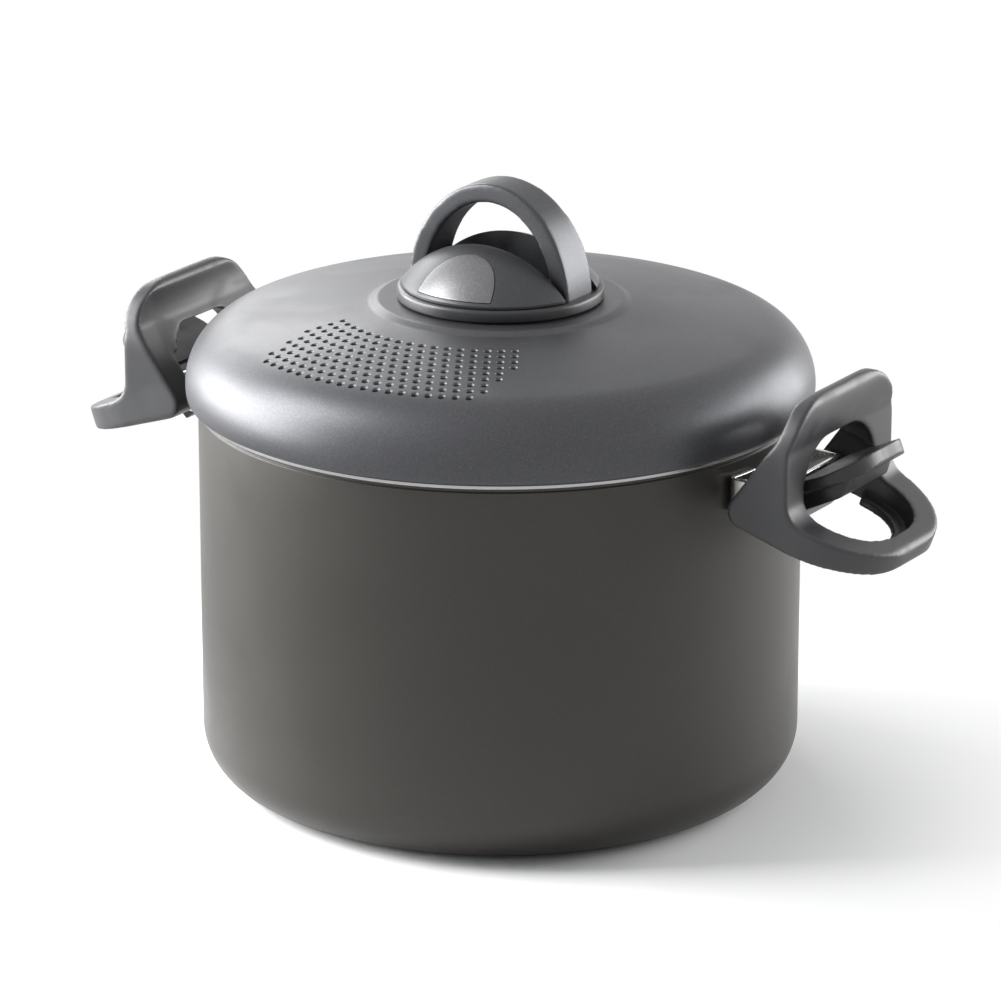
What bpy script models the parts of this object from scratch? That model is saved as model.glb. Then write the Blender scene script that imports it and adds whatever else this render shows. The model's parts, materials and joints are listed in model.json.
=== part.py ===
"""Colander pot: a deep pot with a perforated lid that two tilting side frames lock down.

Metres, +Z up. The origin is the centre of the pot's base. The two handles lie on the X axis,
and the drain holes of the lid are on the -Y side.
"""
import math

import bmesh
import bpy
from mathutils import Matrix, Vector

# Driving dimensions, metres and degrees

# Fits
TOUCH_GAP = 0.0003
RUN_GAP = 0.0006

# Pot
POT_RADIUS = 0.120
POT_HEIGHT = 0.160
POT_WALL = 0.0035
POT_FLOOR = 0.006
BASE_CORNER = 0.022
RIM_OVERHANG = 0.0015
RIM_BAND_HEIGHT = 0.0045
TURN_STEPS = 60
PLATEAU_STEPS = 2

# Lid
LID_OVERHANG = 0.005
LID_SHOULDER = 0.025
LID_SHOULDER_LIFT = 0.003
LID_SHEET = 0.0025
LID_LAP = 0.0018
LID_SKIRT_DEPTH = 0.007
LID_SKIRT_WALL = 0.0018
PLATEAU_EDGE_SLOPE = 10.5
PLATEAU_CENTRE_SLOPE = 6.0
COLLAR_RADIUS = 0.052
COLLAR_STEP = 0.0016
COLLAR_SLOPE_WIDTH = 0.003

# Drain holes
HOLE_DIAMETER = 0.0027
HOLE_ROWS = 9
HOLE_FIRST_COUNT = 17
HOLE_MOST = 20
HOLE_FIRST_ROW = 0.066
HOLE_ROW_PITCH = 0.0051
HOLE_PITCH = 0.0053
HOLE_SIDES = 6

# Knob
KNOB_RADIUS = 0.041
KNOB_RIM = 0.005
KNOB_EDGE = 0.002
DOME_HEIGHT = 0.0185
TROUGH_HALF_WIDTH = 0.0095
ARCH_HALF_SPAN = 0.037
ARCH_TOP = 0.047
ARCH_THICKNESS = 0.0075
ARCH_WIDTH = 0.016
ARCH_FOOT_WIDTH = 0.019
FRONT_INSERT_RADIUS = 0.017
FRONT_INSERT_CENTRE = 0.036
REAR_INSERT_RADIUS = 0.030
REAR_INSERT_CENTRE = 0.052
INSERT_DEPTH = 0.004
KNOB_SCREW_RADIUS = 0.0025
KNOB_SCREW_HEAD = 0.0048
WASHER_RADIUS = 0.009
WASHER_THICKNESS = 0.0015

# Handle brackets
STRAP_STANDOFF = 0.021
STRAP_THICKNESS = 0.002
STRAP_HEIGHT = 0.014
STRAP_SIDE_GAP = 0.002
STRAP_BELOW_RIM = 0.0185
STRAP_BEND = 0.003
FOOT_BEND = 0.003
FOOT_LENGTH = 0.017
RIVET_FROM_END = 0.0095
RIVET_RADIUS = 0.0026
RIVET_HEAD = 0.0055
RIVET_HEAD_HEIGHT = 0.0018

# Locking frames
PIVOT_INSET = 0.007
LOCK_ANGLE = 42.0
LOOP_ANGLE = -20.0
LOOP_THICKNESS = 0.013
LOOP_END_THICKNESS = 0.009
LOOP_REACH = 0.056
LOOP_END_WIDTH = 0.0095
LOOP_END_FLAT = 0.0065
WINDOW_END_FLAT = 0.006
FRAME_HALF_WIDTH = 0.0425
CHEEK_THICKNESS = 0.0145
LEDGE_WIDTH = 0.006
LEDGE_HEIGHT = 0.0045
LEDGE_END_WIDTH = 0.0045
BAR_CLEARANCE = 0.001
BAR_THICKNESS = 0.007
BAR_START = 20.0
BAR_END = 53.0
BAR_HEIGHT = 0.019
BAR_TOP_FLAT = 0.0185
BAR_BULGE = 0.004
DOORWAY_TOP_FLAT = 0.008
CHEEK_REACH = 0.0185
PIN_RADIUS = 0.0025
PIN_HEAD = 0.0034
PIN_HEAD_HEIGHT = 0.0015
PIN_END_COVER = 0.004

# Thumb leaves
LEAF_GAP = 0.0035
LEAF_END_GAP = 0.002
LEAF_THICKNESS = 0.007
LEAF_TIP = 0.0055
LEAF_UNDERCUT = 0.003
LEAF_END_FLAT = 0.0065
LEAF_BELLY = 0.006
LEAF_ROOT_GAP = 0.0015
LEAF_LIP = 0.0025
LEAF_BACK_HEIGHT = 0.006
LEAF_BACK_WALL = 0.004

# Worked out from the driving dimensions
RIM_RADIUS = POT_RADIUS + RIM_OVERHANG
POT_INSIDE = POT_RADIUS - POT_WALL
LID_RADIUS = POT_RADIUS + LID_OVERHANG
SHOULDER_CENTRE_R = LID_RADIUS - LID_SHOULDER
SHOULDER_CENTRE_Z = POT_HEIGHT + LID_SHOULDER_LIFT
SEAT_Z = POT_HEIGHT + TOUCH_GAP
PLATEAU_START = 90.0 - PLATEAU_EDGE_SLOPE
PLATEAU_R = SHOULDER_CENTRE_R + LID_SHOULDER * math.cos(math.radians(PLATEAU_START))
PLATEAU_Z = SHOULDER_CENTRE_Z + LID_SHOULDER * math.sin(math.radians(PLATEAU_START))
PIVOT_X = POT_RADIUS + STRAP_STANDOFF - PIVOT_INSET
PIVOT_Z = POT_HEIGHT - STRAP_BELOW_RIM
LEAF_ANGLE = LOOP_ANGLE + LOCK_ANGLE
OPENING_HALF_WIDTH = FRAME_HALF_WIDTH - CHEEK_THICKNESS
LOOP_CORNER = FRAME_HALF_WIDTH - LOOP_END_FLAT
BAR_CORNER = FRAME_HALF_WIDTH - BAR_TOP_FLAT
WINDOW_CORNER = OPENING_HALF_WIDTH - WINDOW_END_FLAT
HATCH_CORNER = WINDOW_CORNER - LEDGE_WIDTH / 2.0
DOORWAY_CORNER = OPENING_HALF_WIDTH - DOORWAY_TOP_FLAT
STRAP_WIDTH = 2.0 * (OPENING_HALF_WIDTH - STRAP_SIDE_GAP)
FOOT_END = STRAP_WIDTH / 2.0 - FOOT_LENGTH
RIVET_OFFSET = STRAP_WIDTH / 2.0 - RIVET_FROM_END
LEDGE_HALF_WIDTH = OPENING_HALF_WIDTH - LEDGE_WIDTH
LEAF_HALF_WIDTH = OPENING_HALF_WIDTH - LEAF_GAP
LEAF_CORNER = LEAF_HALF_WIDTH - LEAF_END_FLAT
LEAF_ROOT_HALF_WIDTH = LEDGE_HALF_WIDTH - LEAF_ROOT_GAP
OPENING_REACH = LOOP_REACH - LOOP_END_WIDTH
LEAF_REACH = OPENING_REACH - LEAF_END_GAP


def clear_scene():
    """Remove the objects and collections that a new file starts with."""
    for item in list(bpy.data.objects):
        bpy.data.objects.remove(item, do_unlink=True)
    for group in list(bpy.data.collections):
        bpy.data.collections.remove(group)


def new_collection(name):
    group = bpy.data.collections.new(name)
    bpy.context.scene.collection.children.link(group)
    return group


def principled(name, colour, roughness, metallic):
    """A plain Principled material in one colour."""
    material = bpy.data.materials.new(name)
    material.use_nodes = True
    shader = material.node_tree.nodes["Principled BSDF"]
    shader.inputs["Base Color"].default_value = (*colour, 1.0)
    shader.inputs["Roughness"].default_value = roughness
    shader.inputs["Metallic"].default_value = metallic
    material.diffuse_color = (*colour, 1.0)
    return material


def place(name, mesh, group, material=None, parent=None, location=(0, 0, 0)):
    """Link a mesh as a named object of the part."""
    item = bpy.data.objects.new(name, mesh)
    group.objects.link(item)
    item.location = location
    if parent:
        item.parent = parent
    if material:
        mesh.materials.clear()
        mesh.materials.append(material)
    return item


def evaluated_mesh(item, name):
    """The mesh of an object with its modifiers or its curve made solid."""
    graph = bpy.context.evaluated_depsgraph_get()
    graph.update()
    mesh = bpy.data.meshes.new_from_object(item.evaluated_get(graph))
    mesh.name = name
    work = bmesh.new()
    work.from_mesh(mesh)
    bmesh.ops.remove_doubles(work, verts=work.verts, dist=0.000002)
    work.to_mesh(mesh)
    work.free()
    return mesh


def settle(item, cutters=()):
    """Return an object's finished mesh, and remove the object and its cutters."""
    mesh = evaluated_mesh(item, item.name)
    for used in (item, *cutters):
        bpy.data.objects.remove(used, do_unlink=True)
    return mesh


def boolean(item, cutter, operation="DIFFERENCE"):
    step = item.modifiers.new(operation.title(), "BOOLEAN")
    step.operation = operation
    step.solver = "EXACT"
    step.object = cutter
    return step


def smooth(mesh, angle=35.0):
    mesh.shade_smooth()
    mesh.set_sharp_from_angle(angle=math.radians(angle))


def turned(name, profile, group, closed=False, steps=TURN_STEPS):
    """Turn a profile of (radius, height) points round Z with a Screw modifier."""
    mesh = bpy.data.meshes.new(name)
    points = [(radius, 0.0, height) for radius, height in profile]
    edges = [(i, i + 1) for i in range(len(points) - 1)]
    if closed:
        edges.append((len(points) - 1, 0))
    mesh.from_pydata(points, edges, [])
    item = bpy.data.objects.new(name, mesh)
    group.objects.link(item)
    screw = item.modifiers.new("Screw", "SCREW")
    screw.axis = "Z"
    screw.steps = steps
    screw.render_steps = steps
    screw.use_merge_vertices = True
    screw.merge_threshold = 0.00001
    return item


def rounded(corners, steps=5, cyclic=True):
    """Points of an outline whose corners (x, y, radius) are filleted with arcs."""
    points = []
    count = len(corners)
    for i, (x, y, radius) in enumerate(corners):
        here = Vector((x, y))
        ends = not cyclic and i in (0, count - 1)
        if radius <= 0.0 or ends:
            points.append((x, y))
            continue
        before = Vector(corners[i - 1][:2]) - here
        after = Vector(corners[(i + 1) % count][:2]) - here
        half = before.angle(after) / 2.0
        reach = radius / math.tan(half)
        start = here + before.normalized() * reach
        middle = here + (before.normalized() + after.normalized()).normalized() * radius / math.sin(half)
        spoke = start - middle
        turn = (math.pi - 2.0 * half) * (1.0 if before.cross(after) < 0.0 else -1.0)
        for k in range(steps + 1):
            arm = spoke.copy()
            arm.rotate(Matrix.Rotation(turn * k / steps, 2))
            points.append(tuple(middle + arm))
    return points


def arc(centre, radius, start, end, steps):
    """Points along an arc, angles in degrees."""
    points = []
    for k in range(steps + 1):
        angle = math.radians(start + (end - start) * k / steps)
        points.append((centre[0] + radius * math.cos(angle), centre[1] + radius * math.sin(angle)))
    return points


def prism(name, outline, half_depth, frame, group):
    """A flat outline as a filled 2D curve with a thickness, made a mesh and put in a frame."""
    curve = bpy.data.curves.new(name, "CURVE")
    curve.dimensions = "2D"
    curve.fill_mode = "BOTH"
    curve.extrude = half_depth
    spline = curve.splines.new("POLY")
    spline.points.add(len(outline) - 1)
    for point, (x, y) in zip(spline.points, outline):
        point.co = (x, y, 0.0, 1.0)
    spline.use_cyclic_u = True
    item = bpy.data.objects.new(name, curve)
    group.objects.link(item)
    mesh = evaluated_mesh(item, name)
    bpy.data.objects.remove(item, do_unlink=True)
    solid = bpy.data.objects.new(name, mesh)
    group.objects.link(solid)
    mesh.transform(frame)
    work = bmesh.new()
    work.from_mesh(mesh)
    bmesh.ops.recalc_face_normals(work, faces=work.faces)
    work.to_mesh(mesh)
    work.free()
    return solid


def rod(name, radius, start, end, group, sides=16):
    """A cylinder between two points."""
    start, end = Vector(start), Vector(end)
    axis = end - start
    work = bmesh.new()
    bmesh.ops.create_cone(
        work, cap_ends=True, segments=sides, radius1=radius, radius2=radius, depth=axis.length)
    mesh = bpy.data.meshes.new(name)
    work.to_mesh(mesh)
    work.free()
    turn = axis.to_track_quat("Z", "Y").to_matrix().to_4x4()
    mesh.transform(Matrix.Translation((start + end) / 2.0) @ turn)
    item = bpy.data.objects.new(name, mesh)
    group.objects.link(item)
    return item


# Frames for outlines: where an outline's x, y and thickness point
SIDE_VIEW = Matrix(((1, 0, 0, 0), (0, 0, -1, 0), (0, 1, 0, 0), (0, 0, 0, 1)))
FRONT_VIEW = Matrix(((0, 0, 1, 0), (1, 0, 0, 0), (0, 1, 0, 0), (0, 0, 0, 1)))


def tilted_plan(angle):
    """A plan outline (reach, sideways) that lies in a plane tilted about Y by an angle."""
    return Matrix.Rotation(math.radians(-angle), 4, "Y")


def polar(angle, along, across=0.0):
    """A side-view point that lies along a direction, and across it to its left."""
    turn = math.radians(angle)
    x = along * math.cos(turn) - across * math.sin(turn)
    z = along * math.sin(turn) + across * math.cos(turn)
    return x, z


def make_pot(group, cutters):
    """The pot: one turned shell with a bare rim band and a flat base."""
    inner_corner = BASE_CORNER - POT_WALL
    profile = [(0.0, POT_FLOOR)]
    centre = (POT_INSIDE - inner_corner, POT_FLOOR + inner_corner)
    profile += arc(centre, inner_corner, -90.0, 0.0, 4)
    profile.append((POT_INSIDE, POT_HEIGHT))
    profile.append((RIM_RADIUS, POT_HEIGHT))
    profile.append((RIM_RADIUS, POT_HEIGHT - RIM_BAND_HEIGHT))
    profile.append((POT_RADIUS, POT_HEIGHT - RIM_BAND_HEIGHT - RIM_OVERHANG / 2.0))
    profile += arc((POT_RADIUS - BASE_CORNER, BASE_CORNER), BASE_CORNER, 0.0, -90.0, 6)
    profile.append((0.0, 0.0))
    shell = turned("pot_shell", profile, cutters)
    drills = []
    for side in (0.0, 180.0):
        for angle in (-rivet_angle(), rivet_angle()):
            turn = Matrix.Rotation(math.radians(side + angle), 4, "Z")
            inner = turn @ Vector((POT_INSIDE - POT_WALL, 0.0, PIVOT_Z))
            outer = turn @ Vector((RIM_RADIUS + POT_WALL, 0.0, PIVOT_Z))
            drill = rod("rivet_drill", RIVET_RADIUS + TOUCH_GAP, inner, outer, cutters, 12)
            boolean(shell, drill)
            drills.append(drill)
    mesh = settle(shell, drills)
    smooth(mesh)
    return place("pot_body", mesh, group, MATERIALS["pot"])


def rivet_angle():
    return math.degrees(math.asin(RIVET_OFFSET / POT_RADIUS))


def plateau_point(radius):
    """Height of the lid's top between its collar and its shoulder, where the slope grows steadily."""
    edge = math.tan(math.radians(PLATEAU_EDGE_SLOPE))
    inner = math.tan(math.radians(PLATEAU_CENTRE_SLOPE))
    run = PLATEAU_R - radius
    span = PLATEAU_R - COLLAR_RADIUS
    return PLATEAU_Z + edge * run - (edge - inner) * run * run / (2.0 * span)


def collar_z():
    return plateau_point(COLLAR_RADIUS) + COLLAR_STEP


def make_lid(group, cutters, parent):
    """The lid: crowned top, rounded shoulder, a seat on the rim, a skirt inside it, and the holes."""
    bore = KNOB_SCREW_RADIUS + RUN_GAP
    top = [(bore, collar_z()), (COLLAR_RADIUS - COLLAR_SLOPE_WIDTH, collar_z())]
    for k in range(PLATEAU_STEPS):
        radius = COLLAR_RADIUS + (PLATEAU_R - COLLAR_RADIUS) * k / PLATEAU_STEPS
        top.append((radius, plateau_point(radius)))
    centre = (SHOULDER_CENTRE_R, SHOULDER_CENTRE_Z)
    top += arc(centre, LID_SHOULDER, PLATEAU_START, -10.0, 6)
    edge_z = POT_HEIGHT - LID_LAP
    lap = RIM_RADIUS + RUN_GAP
    edge = [(LID_RADIUS - LID_SHEET / 2.0, edge_z), (lap, edge_z), (lap, SEAT_Z)]
    skirt = POT_INSIDE - RUN_GAP
    skirt_z = POT_HEIGHT - LID_SKIRT_DEPTH
    edge += [(skirt, SEAT_Z), (skirt, skirt_z), (skirt - LID_SKIRT_WALL, skirt_z)]
    edge += [(skirt - LID_SKIRT_WALL, SEAT_Z + LID_SKIRT_WALL)]
    inside = arc(centre, LID_SHOULDER - LID_SHEET, 2.0, PLATEAU_START, 4)
    for k in reversed(range(PLATEAU_STEPS)):
        radius = COLLAR_RADIUS + (PLATEAU_R - COLLAR_RADIUS) * k / PLATEAU_STEPS
        inside.append((radius, plateau_point(radius) - LID_SHEET))
    inside.append((COLLAR_RADIUS - COLLAR_SLOPE_WIDTH, collar_z() - LID_SHEET))
    inside.append((bore, collar_z() - LID_SHEET))
    shell = turned("lid_shell", top + edge + inside, cutters, closed=True)
    drills = drain_drills(cutters)
    boolean(shell, drills)
    mesh = settle(shell, [drills])
    smooth(mesh)
    return place("lid", mesh, group, MATERIALS["lid"], parent)


def drain_drills(cutters):
    """One cutter of upright pins: rows on arcs about the lid's axis, each set off by half a step."""
    work = bmesh.new()
    depth = LID_SHOULDER
    for row in range(HOLE_ROWS):
        radius = HOLE_FIRST_ROW + row * HOLE_ROW_PITCH
        count = HOLE_FIRST_COUNT + row
        if count > HOLE_MOST:
            count = HOLE_MOST - (count - HOLE_MOST) % 2
        for column in range(count):
            angle = (column - (count - 1) / 2.0) * HOLE_PITCH / radius - math.pi / 2.0
            spot = (radius * math.cos(angle), radius * math.sin(angle), plateau_point(radius))
            bmesh.ops.create_cone(
                work, cap_ends=True, segments=HOLE_SIDES, radius1=HOLE_DIAMETER / 2.0,
                radius2=HOLE_DIAMETER / 2.0, depth=depth, matrix=Matrix.Translation(spot))
    mesh = bpy.data.meshes.new("drain_drills")
    work.to_mesh(mesh)
    work.free()
    item = bpy.data.objects.new("drain_drills", mesh)
    cutters.objects.link(item)
    return item


def knob_floor():
    return collar_z() + TOUCH_GAP


def arch_body(cutters):
    """The knob's arch: a band bent over in the XZ plane, wider at its feet."""
    base = knob_floor() + KNOB_RIM / 2.0
    rise = knob_floor() + ARCH_TOP - base
    outer = []
    inner = []
    steps = 18
    for k in range(steps + 1):
        angle = math.pi * k / steps
        outer.append((ARCH_HALF_SPAN * math.cos(angle), base + rise * math.sin(angle)))
        reach = ARCH_HALF_SPAN - ARCH_THICKNESS
        inner.append((reach * math.cos(angle), base + (rise - ARCH_THICKNESS) * math.sin(angle)))
    band = prism("arch_band", outer + inner[::-1], ARCH_FOOT_WIDTH / 2.0, SIDE_VIEW, cutters)
    mid = base + rise * 0.5
    top = knob_floor() + ARCH_TOP + KNOB_RIM
    half_foot = ARCH_FOOT_WIDTH / 2.0 + KNOB_EDGE
    waist = [(-half_foot, base - KNOB_RIM, 0.0), (half_foot, base - KNOB_RIM, 0.0),
             (ARCH_FOOT_WIDTH / 2.0, mid, 0.0), (ARCH_WIDTH / 2.0, top, 0.0),
             (-ARCH_WIDTH / 2.0, top, 0.0), (-ARCH_FOOT_WIDTH / 2.0, mid, 0.0)]
    trim = prism("arch_trim", rounded(waist), KNOB_RADIUS, FRONT_VIEW, cutters)
    boolean(band, trim, "INTERSECT")
    mesh = settle(band, [trim])
    return place("arch_body", mesh, cutters)


def dome_height(radius):
    """Height of the knob's dome above its rim: part of a ball."""
    edge = KNOB_RADIUS - KNOB_EDGE
    ball = (edge * edge + DOME_HEIGHT * DOME_HEIGHT) / (2.0 * DOME_HEIGHT)
    return math.sqrt(ball * ball - radius * radius) - (ball - DOME_HEIGHT)


def dome_cap(name, cutters, lift=0.0, steps=48):
    """The whole domed cap, before it is cut into a front and a rear half."""
    low = knob_floor() + KNOB_RIM + TOUCH_GAP
    edge = KNOB_RADIUS - KNOB_EDGE
    profile = []
    rings = 8
    for k in range(rings + 1):
        radius = edge * k / rings
        profile.append((radius, low + dome_height(radius) + KNOB_EDGE * 0.5 + lift))
    profile.append((edge, low))
    profile.append((0.0, low))
    return turned(name, profile, cutters, steps=steps)


def upright_cutter(name, radius, centre_y, low, high, cutters, sides=40):
    return rod(name, radius, (0.0, centre_y, low), (0.0, centre_y, high), cutters, sides)


def make_knob(group, cutters, parent):
    """Knob: a base with the arch, two domed halves, two inlaid panels, a screw and a washer."""
    floor = knob_floor()
    low = floor + KNOB_RIM + TOUCH_GAP
    sky = floor + 2.0 * ARCH_TOP
    edge = KNOB_EDGE / 2.0
    base = turned("base_disc", [
        (0.0, floor + KNOB_RIM), (KNOB_RADIUS - edge, floor + KNOB_RIM),
        (KNOB_RADIUS, floor + KNOB_RIM - edge),
        (KNOB_RADIUS, floor + edge), (KNOB_RADIUS - edge, floor), (0.0, floor)], cutters, steps=48)
    arch = arch_body(cutters)
    web = prism("arch_web", rounded([
        (-ARCH_HALF_SPAN + edge, -TROUGH_HALF_WIDTH + TOUCH_GAP, edge),
        (ARCH_HALF_SPAN - edge, -TROUGH_HALF_WIDTH + TOUCH_GAP, edge),
        (ARCH_HALF_SPAN - edge, TROUGH_HALF_WIDTH - TOUCH_GAP, edge),
        (-ARCH_HALF_SPAN + edge, TROUGH_HALF_WIDTH - TOUCH_GAP, edge)]),
        KNOB_RIM / 2.0, Matrix.Translation((0, 0, floor + KNOB_RIM)), cutters)
    boolean(base, arch, "UNION")
    boolean(base, web, "UNION")
    hole = upright_cutter("screw_hole", KNOB_SCREW_RADIUS + TOUCH_GAP, 0.0,
                          floor - KNOB_RIM, floor + KNOB_RIM, cutters, 12)
    boolean(base, hole)
    mesh = settle(base, [arch, web, hole])
    smooth(mesh)
    place("knob_base", mesh, group, MATERIALS["knob"], parent)

    for name, sign, radius, centre in (
            ("front", -1.0, FRONT_INSERT_RADIUS, FRONT_INSERT_CENTRE),
            ("rear", 1.0, REAR_INSERT_RADIUS, REAR_INSERT_CENTRE)):
        half = dome_cap("half_dome", cutters)
        keep = KNOB_RADIUS * 2.0
        ridge = sign * (ARCH_FOOT_WIDTH / 2.0 + KNOB_EDGE + TOUCH_GAP)
        half_plane = prism(
            "half_plane", [(-keep, ridge), (keep, ridge), (keep, sign * keep), (-keep, sign * keep)],
            ARCH_TOP, Matrix.Translation((0, 0, floor)), cutters)
        boolean(half, half_plane, "INTERSECT")
        pocket = upright_cutter("pocket", radius, sign * centre, low + INSERT_DEPTH / 2.0, sky, cutters)
        boolean(half, pocket)
        mesh = settle(half, [half_plane, pocket])
        smooth(mesh)
        place("knob_" + name + "_dome", mesh, group, MATERIALS["knob"], parent)

        inlay = dome_cap("inlay", cutters, lift=TOUCH_GAP)
        plug = upright_cutter("plug", radius - TOUCH_GAP, sign * centre,
                              low + INSERT_DEPTH / 2.0 + TOUCH_GAP, sky, cutters)
        boolean(inlay, plug, "INTERSECT")
        mesh = settle(inlay, [plug])
        smooth(mesh)
        place("knob_" + name + "_inlay", mesh, group, MATERIALS["inlay"], parent)

    under = collar_z() - LID_SHEET - TOUCH_GAP
    washer = turned("washer", [
        (KNOB_SCREW_RADIUS + RUN_GAP, under), (WASHER_RADIUS, under),
        (WASHER_RADIUS, under - WASHER_THICKNESS), (KNOB_SCREW_RADIUS + RUN_GAP, under - WASHER_THICKNESS)],
        cutters, closed=True, steps=16)
    mesh = settle(washer)
    smooth(mesh)
    place("knob_washer", mesh, group, MATERIALS["steel"], parent)

    head = under - WASHER_THICKNESS - TOUCH_GAP
    tip = floor + KNOB_RIM - 2.0 * TOUCH_GAP
    screw = turned("screw", [
        (0.0, tip), (KNOB_SCREW_RADIUS, tip), (KNOB_SCREW_RADIUS, head), (KNOB_SCREW_HEAD, head),
        (KNOB_SCREW_HEAD, head - KNOB_SCREW_RADIUS / 2.0), (KNOB_SCREW_HEAD / 2.0, head - KNOB_SCREW_RADIUS),
        (0.0, head - KNOB_SCREW_RADIUS)], cutters, steps=16)
    mesh = settle(screw)
    smooth(mesh)
    place("knob_screw", mesh, group, MATERIALS["steel"], parent)


def strap_mesh(cutters):
    """The bracket: one strip bent out from the wall, across and back, with its feet turned in."""
    foot = POT_RADIUS + TOUCH_GAP + STRAP_THICKNESS / 2.0
    half = (STRAP_WIDTH - STRAP_THICKNESS) / 2.0
    front = POT_RADIUS + STRAP_STANDOFF - STRAP_THICKNESS / 2.0
    path = []
    for k in range(4):
        side = FOOT_END + (half - 2.0 * FOOT_BEND - FOOT_END) * k / 3.0
        path.append((math.sqrt(foot * foot - side * side), side, 0.0))
    path.append((math.sqrt(foot * foot - half * half), half, FOOT_BEND))
    path.append((front, half, STRAP_BEND))
    path += [(x, -y, radius) for x, y, radius in reversed(path)]
    line = rounded(path, steps=4, cyclic=False)
    mesh = bpy.data.meshes.new("strap")
    low = PIVOT_Z - STRAP_HEIGHT / 2.0
    mesh.from_pydata([(x, y, low) for x, y in line], [(i, i + 1) for i in range(len(line) - 1)], [])
    work = bmesh.new()
    work.from_mesh(mesh)
    raised = bmesh.ops.extrude_edge_only(work, edges=work.edges)
    corners = [part for part in raised["geom"] if isinstance(part, bmesh.types.BMVert)]
    bmesh.ops.translate(work, verts=corners, vec=(0.0, 0.0, STRAP_HEIGHT))
    bmesh.ops.recalc_face_normals(work, faces=work.faces)
    work.to_mesh(mesh)
    work.free()
    item = place("strap_strip", mesh, cutters)
    shell = item.modifiers.new("Solidify", "SOLIDIFY")
    shell.thickness = STRAP_THICKNESS
    shell.offset = 0.0
    shell.use_even_offset = True
    drills = []
    for sign in (-1.0, 1.0):
        turn = Matrix.Rotation(math.radians(sign * rivet_angle()), 4, "Z")
        inner = turn @ Vector((POT_INSIDE, 0.0, PIVOT_Z))
        outer = turn @ Vector((POT_RADIUS + 3.0 * STRAP_THICKNESS, 0.0, PIVOT_Z))
        drills.append(rod("foot_drill", RIVET_RADIUS + TOUCH_GAP, inner, outer, cutters, 12))
        reach = STRAP_WIDTH / 2.0 + STRAP_THICKNESS
        near = (PIVOT_X, sign * (reach - 3.0 * STRAP_THICKNESS), PIVOT_Z)
        far = (PIVOT_X, sign * reach, PIVOT_Z)
        drills.append(rod("pin_drill", PIN_RADIUS + TOUCH_GAP, near, far, cutters, 12))
    for drill in drills:
        boolean(item, drill)
    mesh = settle(item, drills)
    smooth(mesh)
    return mesh


def rivet_mesh(cutters):
    """A wall rivet along +X: a low head inside the pot, a shank, and a closed head on the foot."""
    inside = POT_INSIDE - 2.0 * TOUCH_GAP
    outside = POT_RADIUS + STRAP_THICKNESS + 2.5 * TOUCH_GAP
    profile = [(0.0, outside + RIVET_HEAD_HEIGHT), (RIVET_HEAD * 0.5, outside + RIVET_HEAD_HEIGHT),
               (RIVET_HEAD * 0.8, outside), (RIVET_RADIUS, outside), (RIVET_RADIUS, inside),
               (RIVET_HEAD, inside), (RIVET_HEAD * 0.8, inside - RIVET_HEAD_HEIGHT * 0.8),
               (RIVET_HEAD * 0.4, inside - RIVET_HEAD_HEIGHT), (0.0, inside - RIVET_HEAD_HEIGHT)]
    item = turned("rivet", profile, cutters, steps=12)
    mesh = settle(item)
    mesh.transform(Matrix.Rotation(math.pi / 2.0, 4, "Y"))
    smooth(mesh)
    return mesh


def pin_mesh(cutters, sign):
    """A pivot pin along Y, from inside the bracket's arm out into the cheek, round (0, 0, 0)."""
    arm = STRAP_WIDTH / 2.0 - STRAP_THICKNESS - TOUCH_GAP
    end = FRAME_HALF_WIDTH - PIN_END_COVER - TOUCH_GAP
    profile = [(0.0, end), (PIN_RADIUS * 0.8, end), (PIN_RADIUS, end - PIN_RADIUS * 0.2), (PIN_RADIUS, arm),
               (PIN_HEAD, arm), (PIN_HEAD, arm - PIN_HEAD_HEIGHT * 0.6),
               (PIN_HEAD * 0.7, arm - PIN_HEAD_HEIGHT), (0.0, arm - PIN_HEAD_HEIGHT)]
    item = turned("pin", profile, cutters, steps=12)
    mesh = settle(item)
    mesh.transform(Matrix.Rotation(-sign * math.pi / 2.0, 4, "X"))
    smooth(mesh)
    return mesh


def bar_arc(radius, start, end, steps):
    """An arc of the bar at rest, about the lid shoulder's centre turned back from the locked place."""
    centre = Vector((SHOULDER_CENTRE_R - PIVOT_X, SHOULDER_CENTRE_Z - PIVOT_Z))
    centre.rotate(Matrix.Rotation(math.radians(-LOCK_ANGLE), 2))
    return arc(centre, radius, start - LOCK_ANGLE, end - LOCK_ANGLE, steps)


def frame_side_outline():
    """Side view of a locking frame at rest, about its pivot: grip loop, cheek and lid bar."""
    half = LOOP_THICKNESS / 2.0
    inner = LID_SHOULDER + BAR_CLEARANCE
    outer = inner + BAR_THICKNESS
    boss_end = 180.0 + LOCK_ANGLE
    boss = arc((0.0, 0.0), half, boss_end - 75.0, 270.0 + LOOP_ANGLE, 7)
    end = LOOP_END_THICKNESS / 2.0
    tip_low = polar(LOOP_ANGLE, LOOP_REACH, -end)
    tip_high = polar(LOOP_ANGLE, LOOP_REACH, end)
    heel = polar(LOOP_ANGLE, CHEEK_REACH, half)
    outline = rounded([
        (*boss[-1], 0.0), (*tip_low, end * 0.8), (*tip_high, end * 0.8),
        (*heel, CHEEK_REACH * 0.55), (*bar_arc(outer, BAR_START, BAR_END, 1)[0], 0.0)], steps=4)
    outline += bar_arc(outer, BAR_START + 6.0, BAR_END - 5.0, 4)
    outline += [bar_arc(outer - BAR_THICKNESS * 0.25, BAR_END, BAR_END, 1)[0]]
    outline += [bar_arc(inner + BAR_THICKNESS * 0.25, BAR_END, BAR_END, 1)[0]]
    outline += bar_arc(inner, BAR_END - 4.0, BAR_START, 4)
    return boss[:-1] + outline


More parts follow.
